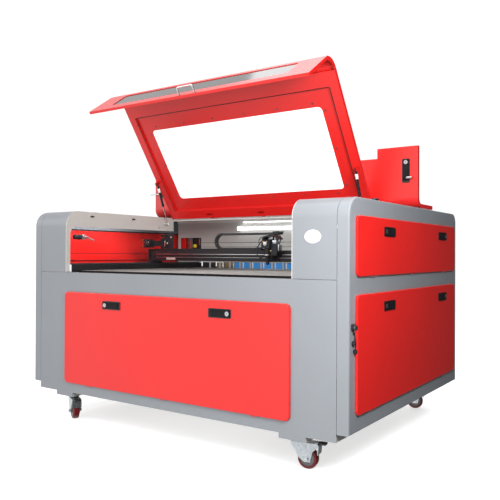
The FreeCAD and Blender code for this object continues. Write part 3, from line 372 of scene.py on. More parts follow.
MATS = {
    "red": red_coat("red_coat"),
    "red_front": red_coat("red_front", proud_of_front(-0.01105)),
    "red_side": red_coat("red_side", proud_of_side(0.93605)),
    "red_cover": red_coat("red_cover", proud_of_front(0.8799)),
    "gray": gray_coat(),
    "column": column_coat(),
    "bay": bay_coat(),
    "deck": deck_coat(),
    "beige": powder_coat("frame_beige", (0.50, 0.49, 0.46), 0.5).material,
    "slats": slat_material(),
    "rail": rail_material(),
    "beam": anodised("beam_black", (0.022, 0.020, 0.022), 0.34),
    "head": anodised("head_black", (0.018, 0.018, 0.020), 0.30),
    "brass": brushed("brass", (0.62, 0.42, 0.16), 0.28),
    "chain": plastic("chain_nylon", (0.014, 0.014, 0.016), 0.42),
    "tube_glass": glass("tube_glass", (0.86, 0.92, 0.94), 0.03, 0.9),
    "cradle": plastic("cradle", (0.50, 0.36, 0.06), 0.45),
    "lamp": lamp_material(),
    "housing": circuit_material(),
    "gloss_black": plastic("gloss_black", (0.012, 0.012, 0.014), 0.16, 500.0, 0.05),
    "matte_black": plastic("matte_black", (0.016, 0.016, 0.018), 0.46),
    "latch_front": latch_coat("latch_front", proud_of_front(-0.01735)),
    "latch_side": latch_coat("latch_side", proud_of_side(0.94235)),
    "latch_cover": latch_coat("latch_cover", proud_of_front(0.87365)),
    "acrylic": clear_sheet(),
    "chrome": zinc("chrome", (0.72, 0.72, 0.73), 0.10),
    "steel": brushed("steel", (0.58, 0.58, 0.58), 0.30),
    "zinc": zinc("zinc", (0.56, 0.60, 0.63), 0.24),
    "wheel": plastic("wheel_red", (0.105, 0.005, 0.007), 0.34, 300.0, 0.12),
    "core": plastic("wheel_core", (0.10, 0.10, 0.105), 0.4, 300.0, 0.12),
    "white": plastic("white_plastic", (0.72, 0.73, 0.74), 0.35),
    "label": plastic("label_paper", (0.78, 0.78, 0.76), 0.55, 300.0, 0.05),
    "pink_label": plastic("pink_label", (0.62, 0.42, 0.40), 0.5, 300.0, 0.05),
    "yellow": plastic("yellow_cap", (0.80, 0.56, 0.02), 0.35),
    "olive": powder_coat("filter_olive", (0.21, 0.17, 0.08), 0.6).material,
    # painted shade: dark red for the strips that stand in for the lid's shadow lines
    "shade_strip": plastic("painted_shade_red", (0.085, 0.006, 0.006), 0.6, 300.0, 0.05),
    "screw": zinc("screw_dull", (0.22, 0.20, 0.20), 0.40),
    "rubber": plastic("rubber_seal", (0.02, 0.02, 0.021), 0.6),
}


def paint(node, key):
    mesh = NODES[node].data
    mesh.materials.clear()
    mesh.materials.append(MATS[key])


PAINT = {
    "base_frame": "beige", "front_panel": "gray", "rear_panel": "gray", "bay_rear_wall": "bay",
    "rear_deck": "deck", "bay_floor": "bay", "blade_table": "slats", "debris_tray": "bay",
    "y_rails": "rail", "laser_tube": "tube_glass", "tube_mounts": "cradle", "bay_lamp": "lamp",
    "electronics": "housing", "control_panel": "gloss_black", "data_ports": "matte_black",
    "lid_shell": "red", "lid_windows": "acrylic", "lid_handle": "chrome", "lid_screws": "screw",
    "rear_cover": "red_cover", "front_door": "red_front", "stop_button": "gloss_black",
    "gantry_beam": "beam", "chain_lower": "chain", "laser_head": "head", "chain_run": "chain",
    "chain_bend": "chain", "focus_nozzle": "head",
}
for side, _ in SIDES:
    PAINT["side_shell_" + side] = "gray"
    PAINT["column_" + side] = "column"
    PAINT["strut_cylinder_" + side] = "gloss_black"
    PAINT["strut_rod_" + side] = "chrome"
    PAINT["cover_latch_" + side] = "latch_cover"
    PAINT["front_latch_" + side] = "latch_front"
    for level in ("upper", "lower"):
        PAINT["side_door_" + level + "_" + side] = "red_side"
        for place in ("front", "rear"):
            PAINT["latch_" + level + "_" + place + "_" + side] = "latch_side"
    for end in ("front", "rear"):
        PAINT["caster_fork_" + end + "_" + side] = "zinc"
        PAINT["caster_wheel_" + end + "_" + side] = "wheel"
for node, key in PAINT.items():
    paint(node, key)


# ---- mesh helpers -------------------------------------------------------
def loose_piece(name, bm, key):
    mesh = bpy.data.meshes.new(name)
    bmesh.ops.recalc_face_normals(bm, faces=bm.faces)
    bm.to_mesh(mesh)
    bm.free()
    mesh.materials.append(MATS[key])
    obj = bpy.data.objects.new(name, mesh)
    bpy.context.scene.collection.objects.link(obj)
    return obj


def piece(name, bm, key, body, smooth=True):
    """A piece that rides on one body."""
    obj = loose_piece(name, bm, key)
    if smooth:
        for polygon in obj.data.polygons:
            polygon.use_smooth = True
        obj.data.set_sharp_from_angle(angle=math.radians(35))
    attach(obj, body)
    return obj


def add_block(bm, low, high, bevel=0.0006, turn=None):
    """A block with bevelled edges between two corners."""
    made = bmesh.ops.create_cube(bm, size=1.0)
    verts = made["verts"]
    size = Vector([abs(high[i] - low[i]) for i in range(3)])
    middle = (Vector(low) + Vector(high)) / 2
    bmesh.ops.scale(bm, vec=size, verts=verts)
    edges = list(dict.fromkeys(edge for vert in verts for edge in vert.link_edges))
    width = min(bevel, min(size) * 0.45)
    made = bmesh.ops.bevel(bm, geom=edges, offset=width, segments=2, affect="EDGES", profile=0.5)
    rounded = [vert for face in made["faces"] for vert in face.verts]
    verts = list(dict.fromkeys(rounded + [vert for vert in verts if vert.is_valid]))
    if turn is not None:
        bmesh.ops.rotate(bm, cent=Vector((0, 0, 0)), matrix=turn, verts=verts)
    bmesh.ops.translate(bm, vec=middle, verts=verts)


def frame_of(direction):
    """Two unit vectors square to a direction."""
    d = direction.normalized()
    helper = Z if abs(d.z) < 0.9 else X
    u = d.cross(helper).normalized()
    return u, d.cross(u).normalized()


def skin(bm, rings):
    """Quads between each ring of points and the next."""
    for a, b in zip(rings, rings[1:]):
        for i in range(len(a)):
            j = (i + 1) % len(a)
            bm.faces.new((a[i], a[j], b[j], b[i]))


def close_ends(bm, rings):
    bm.faces.new(rings[0])
    bm.faces.new(list(reversed(rings[-1])))


def round_ring(bm, centre, u, v, radius, segments):
    """Points of a circle in the plane of the unit vectors u and v."""
    ring = []
    for i in range(segments):
        a = 2 * math.pi * i / segments
        ring.append(bm.verts.new(centre + u * math.cos(a) * radius + v * math.sin(a) * radius))
    return ring


def turned_rings(bm, start, direction, profile, segments):
    d = direction.normalized()
    u, v = frame_of(d)
    return [round_ring(bm, start + d * along, u, v, radius, segments) for along, radius in profile]


def add_lathe(bm, start, direction, profile, segments=40):
    """A turned solid: profile is a list of (distance along, radius)."""
    rings = turned_rings(bm, start, direction, profile, segments)
    skin(bm, rings)
    close_ends(bm, rings)


def add_sleeve(bm, start, direction, profile, segments=40):
    """A turned ring: the profile closes on itself, so it has no end caps."""
    rings = turned_rings(bm, start, direction, profile, segments)
    skin(bm, rings + rings[:1])


def add_pipe(bm, points, radius, segments=12, smooth=4):
    """A round bar along a smooth path through the points."""
    path = smooth_path(points, smooth)
    rings = []
    u = None
    for i, p in enumerate(path):
        before, after = path[max(i - 1, 0)], path[min(i + 1, len(path) - 1)]
        d = (after - before).normalized()
        if u is None:
            u, _ = frame_of(d)
        u = (u - d * u.dot(d)).normalized()
        rings.append(round_ring(bm, p, u, d.cross(u), radius, segments))
    skin(bm, rings)
    close_ends(bm, rings)


def smooth_path(points, steps):
    """Catmull-Rom points through the given ones."""
    points = [Vector(p) for p in points]
    if len(points) < 3:
        return points
    ends = [points[0] * 2 - points[1]] + points + [points[-1] * 2 - points[-2]]
    path = []
    for i in range(1, len(ends) - 2):
        p0, p1, p2, p3 = ends[i - 1:i + 3]
        for k in range(steps):
            t = k / steps
            path.append(0.5 * ((2 * p1) + (p2 - p0) * t + (2 * p0 - 5 * p1 + 4 * p2 - p3) * t * t
                               + (3 * p1 - p0 - 3 * p2 + p3) * t ** 3))
    path.append(points[-1])
    return path


def add_oval(bm, middle, half_x, half_z, y0, y1, steps=48):
    """An upright oval plate with a softened rim, facing -Y."""
    rings = []
    for y, inset in ((y1, 0.0), (y0 + 0.0006, 0.0), (y0, 0.0006)):
        ring = []
        for i in range(steps):
            a = 2 * math.pi * i / steps
            x = middle.x + (half_x - inset) * math.cos(a)
            z = middle.z + (half_z - inset) * math.sin(a)
            ring.append(bm.verts.new((x, y, z)))
        rings.append(ring)
    skin(bm, rings)
    close_ends(bm, rings)


# ---- fittings on the cabinet --------------------------------------------
def oval_plate():
    """Blank oval plate on the right column."""
    middle = at(770, 0, 922)
    bm = bmesh.new()
    add_oval(bm, middle, 0.036, 0.026, middle.y - 0.0022, middle.y - 0.0002)
    piece("oval_plate", bm, "white", "cabinet")
    bm = bmesh.new()
    add_oval(bm, middle, 0.029, 0.0195, middle.y - 0.0030, middle.y - 0.0021)
    piece("oval_plate_face", bm, "label", "cabinet")


def lid_switch():
    """Interlock switch inside the left column."""
    bm = bmesh.new()
    add_lathe(bm, at(-750, 112, 941), Y, [(0, 0.009), (0.002, 0.0125), (0.020, 0.0125), (0.021, 0.010),
                                          (0.030, 0.010), (0.031, 0.0135), (0.045, 0.0135), (0.046, 0.011)])
    piece("switch_body", bm, "matte_black", "cabinet")
    bm = bmesh.new()
    add_block(bm, at(-762, 159, 928), at(-738, 186, 956), 0.002)
    add_lathe(bm, at(-738, 172, 942), X, [(0, 0.008), (0.002, 0.008), (0.003, 0.005)])
    turn = Matrix.Rotation(math.radians(-18), 3, "X")
    add_block(bm, at(-754, 186, 930), at(-746, 254, 940), 0.0015, turn)
    piece("switch_bracket", bm, "chrome", "cabinet")


def power_meter():
    """Small black box with a yellow knob and its steel plate, on the rear wall of the bay."""
    bm = bmesh.new()
    add_block(bm, at(-744, 1100.6, 878), at(-673, 1104.5, 958), 0.0015)
    add_block(bm, at(-740, 1098, 930), at(-712, 1101, 952), 0.001)
    piece("meter_box", bm, "matte_black", "cabinet")
    bm = bmesh.new()
    add_lathe(bm, at(-722, 1100.6, 905), -Y, [(0, 0.0125), (0.004, 0.0125), (0.006, 0.010), (0.007, 0.006)])
    piece("meter_knob", bm, "yellow", "cabinet")
    bm = bmesh.new()
    add_block(bm, at(-773, 1092, 878), at(-747, 1104.5, 959), 0.0015)
    add_block(bm, at(-690, 1100.2, 912), at(-680, 1101, 950), 0.0002)
    piece("meter_plate", bm, "steel", "cabinet")


def rail_ends():
    """White end plates of the two rails, and their screws."""
    for side, sign in SIDES:
        bm = bmesh.new()
        x = sign * 683
        add_block(bm, at(x - 19, 23, 757), at(x + 19, 26.8, 794), 0.001)
        piece("rail_end_" + side, bm, "white", "cabinet")
        bm = bmesh.new()
        for z in (767, 784):
            add_lathe(bm, at(x, 23, z), -Y, [(0, 0.004), (0.0015, 0.004), (0.002, 0.003)], 20)
        piece("rail_end_screws_" + side, bm, "steel", "cabinet")


def bay_trim():
    """Painted shade of the pressed lines along the rear wall as dark strips, filter pads and bars below it,
    light strip above.
    """
    bm = bmesh.new()
    for z in (897, 925):
        add_block(bm, at(-670, 1103.6, z), at(870, 1104.9, z + 2.4), 0.0005)
    # painted shade: dark strips stand in for the shade in the two pressed creases
    piece("bay_crease_shade", bm, "rubber", "cabinet")
    bm = bmesh.new()
    for x0, x1 in ((-549, -502), (-481, -423)):
        add_block(bm, at(x0, 1109, 764), at(x1, 1112, 799), 0.001)
    piece("filter_pads", bm, "olive", "cabinet")
    bm = bmesh.new()
    for x in [-495, -413, -338, -265, -184, -99, -21] + list(range(60, 660, 80)):
        add_block(bm, at(x - 3.5, 1108, 764), at(x + 3.5, 1112, 801), 0.0005)
    piece("filter_bars", bm, "white", "cabinet")
    bm = bmesh.new()
    add_block(bm, at(-665, 1109, 764), at(-556, 1112, 800), 0.001)
    piece("filter_blank", bm, "rubber", "cabinet")
    bm = bmesh.new()
    add_block(bm, at(-330, 1098, 1050), at(660, 1103, 1055), 0.001)
    piece("light_strip", bm, "lamp", "cabinet")


def wall_strips():
    """Red service strip at the left end of the rear wall."""
    bm = bmesh.new()
    add_block(bm, at(-846, 1106, 876), at(-806, 1110, 956), 0.001)
    piece("service_strip", bm, "red", "cabinet")


def bumpers():
    """Rubber pads on the column walls under the lid."""
    for side, sign in SIDES:
        bm = bmesh.new()
        for depth in (172, 480):
            x0, x1 = sorted((sign * COLUMN_WALL, sign * (COLUMN_WALL - 6)))
            add_block(bm, at(x0, depth - 12, 1047), at(x1, depth + 12, 1055), 0.0015)
        piece("lid_pads_" + side, bm, "rubber", "cabinet")


def panel_screws():
    """Screws of the column walls and of the exhaust collars."""
    bm = bmesh.new()
    for _, sign in SIDES:
        for depth in (120, 700):
            add_lathe(bm, at(sign * COLUMN_WALL, depth, 1010), X * -sign,
                      [(0, 0.0045), (0.0012, 0.0042), (0.002, 0.003)], 20)
    for x in (-350, 350):
        for i in range(6):
            a = math.radians(30 + 60 * i)
            place = at(x + 86 * math.cos(a), 1330, 450 + 86 * math.sin(a))
            add_lathe(bm, place, Y, [(0, 0.005), (0.0015, 0.0048), (0.0025, 0.003)], 20)
    piece("panel_screws", bm, "steel", "cabinet")


def door_seals():
    """Black foam strips round the door openings."""
    bm = bmesh.new()
    y0, y1 = -0.4, 0.0
    for x0, x1, z0, z1 in ((-668, -662, 197, 652), (662, 668, 197, 652),
                           (-662, 662, 197, 202), (-662, 662, 647, 652)):
        add_block(bm, at(x0, y0, z0), at(x1, y1, z1), 0.0002)
    piece("front_seal", bm, "rubber", "cabinet", False)
    for side, sign in SIDES:
        bm = bmesh.new()
        for low, high in ((768, 1004), (238, 699)):
            x0, x1 = sorted((sign * 925, sign * 925.4))
            for d0, d1, z0, z1 in ((58, 63, low + 6, high - 6), (1265, 1270, low + 6, high - 6),
                                   (63, 1265, low + 6, low + 11), (63, 1265, high - 11, high - 6)):
                add_block(bm, at(x0, d0, z0), at(x1, d1, z1), 0.0002)
        piece("side_seals_" + side, bm, "rubber", "cabinet", False)


# ---- locks --------------------------------------------------------------
def key_slot(name, body, centre, outward, up):
    """Key slot drawn as a dark block just proud of a lock's face: painted shade of the keyway."""
    side = outward.cross(up)
    bm = bmesh.new()
    corners = []
    for a, b in ((-0.0010, -0.0036), (0.0010, -0.0036), (0.0010, 0.0036), (-0.0010, 0.0036)):
        corners.append(centre + side * a + up * b)
    low = [bm.verts.new(c - outward * 0.0005) for c in corners]
    top = [bm.verts.new(c + outward * 0.0002) for c in corners]
    bm.faces.new(low)
    bm.faces.new(list(reversed(top)))
    for i in range(4):
        j = (i + 1) % 4
        bm.faces.new((low[i], low[j], top[j], top[i]))
    # painted shade: the dark block stands in for the shadow inside the keyway
    piece(name, bm, "rubber", body, False)


def latch_pockets():
    """Black floor of each latch recess, on the face of its door."""
    half, thick = 0.0158, 0.00035
    near, far = RECESS
    x, z = FRONT_LATCH
    bm = bmesh.new()
    for sign in (-1, 1):
        x0, x1 = sorted((sign * (x + near), sign * (x + far)))
        low, high = at(x0, FRONT_DOOR_FACE, z), at(x1, FRONT_DOOR_FACE, z)
        add_block(bm, low - Vector((0, thick, half)), high + Vector((0, 0, half)), 0.0001)
    piece("latch_pockets_front", bm, "rubber", "front_door", False)
    for side, sign in SIDES:
        for level, z in SIDE_LATCH_HEIGHTS:
            bm = bmesh.new()
            for _, pivot, facing in SIDE_LATCH_DEPTHS:
                d0, d1 = sorted((pivot + facing * near, pivot + facing * far))
                low, high = at(sign * SIDE_DOOR_FACE, d0, z), at(sign * SIDE_DOOR_FACE, d1, z)
                inner, outer = sorted((0.0, sign * thick))
                add_block(bm, low + Vector((inner, 0, -half)), high + Vector((outer, 0, half)), 0.0001)
            piece("latch_pockets_" + level + "_" + side, bm, "rubber",
                  "side_door_" + level + "_" + side, False)
    x, z = COVER_LATCH
    bm = bmesh.new()
    for sign in (-1, 1):
        low, high = at(sign * x, COVER_FACE, z + near), at(sign * x, COVER_FACE, z + far)
        add_block(bm, low - Vector((half, thick, 0)), high + Vector((half, 0, 0)), 0.0001)
    piece("latch_pockets_cover", bm, "rubber", "rear_cover", False)


def door_shade_lines():
    """Painted shade: dark strips at the edges of the rib and along the top, inside the upper side doors."""
    for side, sign in SIDES:
        bm = bmesh.new()
        for low, high, near, far in ((811.5, 814, 926.6, 927.2), (850.5, 853, 926.6, 927.2),
                                     (984, 1000, 932.9, 933.6)):
            x0, x1 = sorted((sign * near, sign * far))
            add_block(bm, at(x0, 85, low), at(x1, 1240, high), 0.0002)
        # painted shade: black strips stand in for the shade at the rib's edges and under the top
        piece("door_shade_lines_" + side, bm, "rubber", "side_door_upper_" + side, False)


def locks():
    """The key slot of every latch's lock."""
    for side, sign in SIDES:
        body = "front_latch_" + side
        x, z = FRONT_LATCH
        key_slot("slot_" + body, body, at(sign * (x + LOCK_REACH), FRONT_DOOR_FACE - 7, z), -Y, Z)
        for level, z in SIDE_LATCH_HEIGHTS:
            for place, pivot, facing in SIDE_LATCH_DEPTHS:
                body = "latch_" + level + "_" + place + "_" + side
                centre = at(sign * (SIDE_DOOR_FACE + 7), pivot + facing * LOCK_REACH, z)
                key_slot("slot_" + body, body, centre, X * sign, Z)
        body = "cover_latch_" + side
        x, z = COVER_LATCH
        key_slot("slot_" + body, body, at(sign * x, COVER_FACE - 7, z + LOCK_REACH), -Y, Z)


# ---- lid ----------------------------------------------------------------
def strut_labels():
    """White sleeve on each gas strut."""
    for side, _ in SIDES:
        low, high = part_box("strut_cylinder_" + side)
        x = (low.x + high.x) / 2
        start = at(x * 1000, 650.7, 1268.2)
        direction = Vector((0, 92.3, -233.2)).normalized()
        bm = bmesh.new()
        outside = [(0, 0.0070), (0.0003, 0.00716), (0.0247, 0.00716), (0.025, 0.0070)]
        add_sleeve(bm, start + direction * 0.026, direction, [(0, 0.0069)] + outside + [(0.025, 0.0069)])
        piece("strut_label_" + side, bm, "label", "strut_cylinder_" + side)


def lid_shade_lines():
    """Painted shade: dark strips along the inner edges of the lid's folded lips, standing in for the shadow
    lines at the steps.
    """
    bm = bmesh.new()
    low, high = 1054.7, 1055.1
    add_block(bm, at(-614, 147.5, low), at(614, 152, high), 0.0001)
    for sign in (-1, 1):
        x0, x1 = sorted((sign * 614, sign * 618.5))
        add_block(bm, at(x0, 152, low), at(x1, 765, high), 0.0001)
    turn = Matrix.Rotation(LID_OPEN, 3, "X")
    bmesh.ops.rotate(bm, cent=at(0, *LID_AXIS), matrix=turn, verts=bm.verts)
    piece("lid_shade_lines", bm, "shade_strip", "lid", False)


# ---- motion system ------------------------------------------------------
def beam_fittings():
    """Linear guide, label, and the mirror with its screws, block and clamp on the beam."""
    bm = bmesh.new()
    add_block(bm, at(-640, 638.5, 848), at(640, 640.5, 852), 0.0005)
    add_block(bm, at(-640, 638.5, 832), at(640, 640.5, 834), 0.0005)
    piece("beam_guide", bm, "steel", "gantry")
    bm = bmesh.new()
    add_block(bm, at(-560, 638.2, 818), at(-492, 639.8, 831), 0.0004)
    piece("beam_label", bm, "pink_label", "gantry")
    bm = bmesh.new()
    for z in (895, 933):
        place = at(-708, 600, z)
        add_lathe(bm, place, -X, [(0, 0.0055), (0.001, 0.0065), (0.008, 0.0065), (0.009, 0.0055)], 28)
    piece("mirror_screws", bm, "brass", "gantry")
    bm = bmesh.new()
    add_lathe(bm, at(-668.2, 596, 914), X, [(0, 0.0125), (0.0006, 0.0125), (0.0010, 0.0118)], 40)
    piece("mirror_glass", bm, "chrome", "gantry")
    bm = bmesh.new()
    add_lathe(bm, at(-560, 672, 914), -Y, [(0, 0.012), (0.004, 0.014), (0.024, 0.014), (0.026, 0.011)], 32)
    add_lathe(bm, at(-548, 657, 949), X, [(0, 0.009), (0.004, 0.011), (0.022, 0.011), (0.024, 0.008)], 32)
    add_block(bm, at(-602, 645, 886), at(-566, 658, 902), 0.002)
    add_block(bm, at(-586, 646, 902), at(-572, 664, 962), 0.002)
    add_block(bm, at(-612, 644, 952), at(-566, 662, 966), 0.003)
    piece("mirror_block", bm, "head", "gantry")
    bm = bmesh.new()
    add_block(bm, at(-583, 643, 896), at(-574, 647, 930), 0.0012)
    add_lathe(bm, at(-560, 646, 914), -Y, [(0, 0.006), (0.002, 0.006), (0.003, 0.004)], 24)
    add_lathe(bm, at(-532, 647, 949), -Y, [(0, 0.005), (0.002, 0.005), (0.003, 0.003)], 24)
    piece("mirror_clamp", bm, "chrome", "gantry")


def head_fittings():
    """Hood, bright clamp, lens ring and the hoses and wires of the head."""
    bm = bmesh.new()
    steps = 18
    outer, inner = [], []
    for i in range(steps + 1):
        a = math.pi * (0.04 + 0.92 * i / steps)
        outer.append((204 + 50 * math.cos(a), 926 + 25 * math.sin(a)))
        inner.append((204 + 44 * math.cos(a), 926 + 18 * math.sin(a)))
    loops = []
    for depth in (572, 624):
        loops.append([bm.verts.new(at(x, depth, z)) for x, z in outer + inner[::-1]])
    count = len(loops[0])
    for i in range(count):
        j = (i + 1) % count
        bm.faces.new((loops[0][i], loops[0][j], loops[1][j], loops[1][i]))
    for loop in loops:
        for i in range(steps):
            bm.faces.new((loop[i], loop[i + 1], loop[count - 2 - i], loop[count - 1 - i]))
    piece("head_hood", bm, "head", "laser_head")
    bm = bmesh.new()
    add_block(bm, at(205, 590, 905), at(233, 622, 925), 0.003)
    add_block(bm, at(214, 598, 862), at(244, 632, 904), 0.003)
    add_lathe(bm, at(218, 606, 925), Z, [(0, 0.007), (0.014, 0.007), (0.016, 0.005)], 28)
    piece("head_clamp", bm, "zinc", "laser_head")
    bm = bmesh.new()
    add_lathe(bm, at(*NOZZLE, 845), Z, [(0, 0.0172), (0.001, 0.0184), (0.007, 0.0184), (0.008, 0.0172)], 40)
    add_lathe(bm, at(177, 571, 906), -Y, [(0, 0.011), (0.003, 0.011), (0.004, 0.008)], 32)
    piece("head_rings", bm, "steel", "laser_head")
    bm = bmesh.new()
    add_lathe(bm, at(188, 571.5, 917), -Y, [(0, 0.0035), (0.003, 0.0035), (0.004, 0.002)], 20)
    add_lathe(bm, at(165, 571.5, 917), -Y, [(0, 0.0035), (0.003, 0.0035), (0.004, 0.002)], 20)
    add_lathe(bm, at(200, 600, 869), -Y, [(0, 0.0045), (0.012, 0.0045), (0.013, 0.003)], 20)
    piece("head_screws", bm, "brass", "laser_head")
    bm = bmesh.new()
    add_pipe(bm, [at(150, 592, 830), at(128, 584, 840), at(118, 582, 872), at(130, 594, 910),
                  at(160, 612, 940), at(196, 626, 955), at(206, 635, 958)], 0.0028, 12, 6)
    add_pipe(bm, [at(232, 606, 900), at(246, 604, 915), at(244, 616, 940), at(222, 635, 956)], 0.0024, 12, 6)
    add_pipe(bm, [at(160, 580, 895), at(140, 572, 905), at(138, 584, 935), at(170, 616, 952),
                  at(200, 635, 957)], 0.0018, 10, 6)
    piece("head_hoses", bm, "chain", "laser_head")
    bm = bmesh.new()
    add_lathe(bm, at(*NOZZLE, 797.2), Z,
              [(0, 0.0046), (0.002, 0.0056), (0.018, 0.0112), (0.020, 0.0108)], 40)
    add_lathe(bm, at(*NOZZLE, 824), Z, [(0, 0.0148), (0.001, 0.0156), (0.005, 0.0156), (0.006, 0.0148)], 40)
    piece("nozzle_trim", bm, "matte_black", "focus_nozzle")


def chain_details():
    """Link plates with pins for the upper and lower chain runs and the bend."""
    low_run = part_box("chain_lower")
    centre_low = (low_run[0].z + low_run[1].z) / 2
    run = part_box("chain_run")
    centre_top = (run[0].z + run[1].z) / 2
    middle_y = (run[0].y + run[1].y) / 2
    bend_x = run[0].x - 0.002
    radius = (centre_top - centre_low) / 2
    middle_z = (centre_top + centre_low) / 2

    def links(bm, count, place):
        for i in range(count):
            p, d = place(i)
            turn = Matrix.Rotation(math.atan2(-d.z, d.x), 3, "Y")
            for side in (-1, 1):
                y = middle_y + side * 0.0113
                low = p + Vector((-0.0078, y - p.y - 0.0007, -0.0058))
                high = p + Vector((0.0078, y - p.y + 0.0007, 0.0058))
                add_block(bm, low, high, 0.0005, turn)
                add_lathe(bm, Vector((p.x, y, p.z)), Vector((0, side, 0)),
                          [(0, 0.003), (0.0012, 0.003), (0.0014, 0.002)], 14)

    bm = bmesh.new()
    length = run[1].x - run[0].x
    links(bm, 22, lambda i: (Vector((run[0].x + length * (i + 0.5) / 22, middle_y, centre_top)), X))
    upper = loose_piece("chain_links_upper", bm, "chain")
    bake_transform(upper)

    bm = bmesh.new()
    extent = low_run[1].x - low_run[0].x
    links(bm, 13, lambda i: (Vector((low_run[0].x + extent * (i + 0.5) / 13, middle_y, centre_low)), X))
    lower = loose_piece("chain_links_lower", bm, "chain")
    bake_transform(lower)

    def around(i):
        a = math.radians(90 + 180 * (i + 0.5) / 7)
        p = Vector((bend_x + radius * math.cos(a), middle_y, middle_z + radius * math.sin(a)))
        return p, Vector((-math.sin(a), 0, math.cos(a)))

    bm = bmesh.new()
    links(bm, 7, around)
    piece("chain_links_bend", bm, "chain", "chain_bend")

    for name, node, bodies in (("chain_core_upper", "chain_run", ("gantry", "laser_head")),
                               ("chain_core_lower", "chain_lower", ("gantry", "chain_bend"))):
        low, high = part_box(node)
        bm = bmesh.new()
        count = 44 if node == "chain_run" else 26
        pitch = (high.x - low.x) / count
        for i in range(count):
            x0 = low.x + pitch * i
            half = 0.0052 if i % 2 else 0.0058
            add_block(bm, (x0, low.y + 0.0006, (low.z + high.z) / 2 - half),
                      (x0 + pitch, high.y - 0.0006, (low.z + high.z) / 2 + half), 0.0006)
        core = loose_piece(name, bm, "chain")
        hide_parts(node)
        if node == "chain_run":
            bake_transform(core)
        else:
            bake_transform(core)


# ---- casters ------------------------------------------------------------
def caster_looks():
    """Wheel discs, ball race, axle caps and pedal pad for each caster."""
    for side, sign in SIDES:
        for end, depth in CASTER_DEPTHS.items():
            yaw = math.radians(CASTER_YAWS[end, sign])
            trail = Vector((math.cos(yaw), math.sin(yaw), 0))
            axis = Vector((-math.sin(yaw), math.cos(yaw), 0))
            hub = at(sign * CASTER_X, depth, WHEEL_RADIUS) + trail * (TRAIL / 1000)
            fork, wheel = "caster_fork_" + end + "_" + side, "caster_wheel_" + end + "_" + side
            bm = bmesh.new()
            for s in (-1, 1):
                add_lathe(bm, hub + axis * s * 0.0165, axis * s,
                          [(-0.003, 0.0285), (0.0, 0.0285), (0.0006, 0.0270), (0.0002, 0.0130)], 48)
            piece("wheel_core_" + end + "_" + side, bm, "core", wheel)
            bm = bmesh.new()
            top = at(sign * CASTER_X, depth, 111)
            add_lathe(bm, top, Z, [(0, 0.0342), (0.001, 0.0352), (0.004, 0.0352), (0.005, 0.0342)], 48)
            for s in (-1, 1):
                add_lathe(bm, hub + axis * s * 0.0295, axis * s,
                          [(0, 0.0065), (0.001, 0.0070), (0.003, 0.0066), (0.0035, 0.0045)], 24)
            piece("caster_race_" + end + "_" + side, bm, "chrome", fork)
            bm = bmesh.new()
            middle = at(sign * CASTER_X, depth, 105.4) + trail * 0.0975
            half = Vector((0.0160, 0.0156, 0.0040))
            add_block(bm, middle - half, middle + half, 0.0015, Matrix.Rotation(yaw, 3, "Z"))
            piece("caster_pedal_" + end + "_" + side, bm, "matte_black", fork)


def socket_details():
    """Ring and screws of the panel socket, and the cords of its caps."""
    bm = bmesh.new()
    add_lathe(bm, at(925, 29, 578), X,
              [(0.0135, 0.0098), (0.0138, 0.0108), (0.0147, 0.0108), (0.015, 0.0100)], 32)
    for y, z in ((20, 587), (38, 587), (20, 569), (38, 569)):
        add_lathe(bm, at(928, y, z), X, [(0, 0.0018), (0.0008, 0.0018), (0.001, 0.001)], 12)
    piece("socket_barrel", bm, "steel", "cabinet")
    bm = bmesh.new()
    add_pipe(bm, [at(929, 35, 554), at(931, 39, 542), at(931, 36, 530), at(930, 31, 522)], 0.0014, 10, 6)
    add_pipe(bm, [at(929, 36, 552), at(931, 45, 532), at(931, 48, 508), at(930, 44, 491)], 0.0014, 10, 6)
    piece("cap_cords", bm, "rubber", "cabinet")


oval_plate()
lid_switch()
power_meter()
rail_ends()
bay_trim()
wall_strips()
bumpers()
panel_screws()
door_seals()
latch_pockets()
door_shade_lines()
locks()
strut_labels()
lid_shade_lines()
beam_fittings()
head_fittings()
chain_details()
caster_looks()
socket_details()


# ---- floor, light and camera --------------------------------------------
def glowing(name, rough, specular, glow):
    """A self-lit stage surface, so that it stays pale whatever the lamps do."""
    s = Shader(name, rough, 0.0, specular)
    s.set("Emission Color", (1.0, 1.0, 1.0, 1.0))
    s.set("Emission Strength", glow)
    return s


def stage_object(name, bm, material):
    """Scenery that the camera sees, but bounce light and reflections don't."""
    mesh = bpy.data.meshes.new(name)
    bm.to_mesh(mesh)
    bm.free()
    mesh.materials.append(material)
    obj = bpy.data.objects.new(name, mesh)
    obj.visible_diffuse = False
    obj.visible_glossy = False
    bpy.context.scene.collection.objects.link(obj)
    return obj


def stage():
    """Pale floor, a white backdrop a long way round it, and the sky."""
    bm = bmesh.new()
    bmesh.ops.create_circle(bm, cap_ends=True, segments=96, radius=16.0)
    s = glowing("floor_pale", 0.6, 0.2, 0.62)
    s.color(s.ramp(s.noise(0.6, 2.0), [(0.3, (0.60, 0.60, 0.60)), (0.7, (0.62, 0.62, 0.62))]))
    stage_object("floor", bm, s.material)
    bm = bmesh.new()
    bmesh.ops.create_cone(bm, segments=96, radius1=15.8, radius2=15.8, depth=14.0)
    bmesh.ops.translate(bm, vec=(0, 0, 6.9), verts=bm.verts)
    s = glowing("backdrop_white", 1.0, 0.0, 1.05)
    s.color((0.0, 0.0, 0.0, 1.0))
    backdrop = stage_object("backdrop", bm, s.material)
    backdrop.visible_transmission = False
    backdrop.visible_shadow = False
    world = bpy.data.worlds.new("studio")
    world.use_nodes = True
    studio_sky(world.node_tree)
    bpy.context.scene.world = world


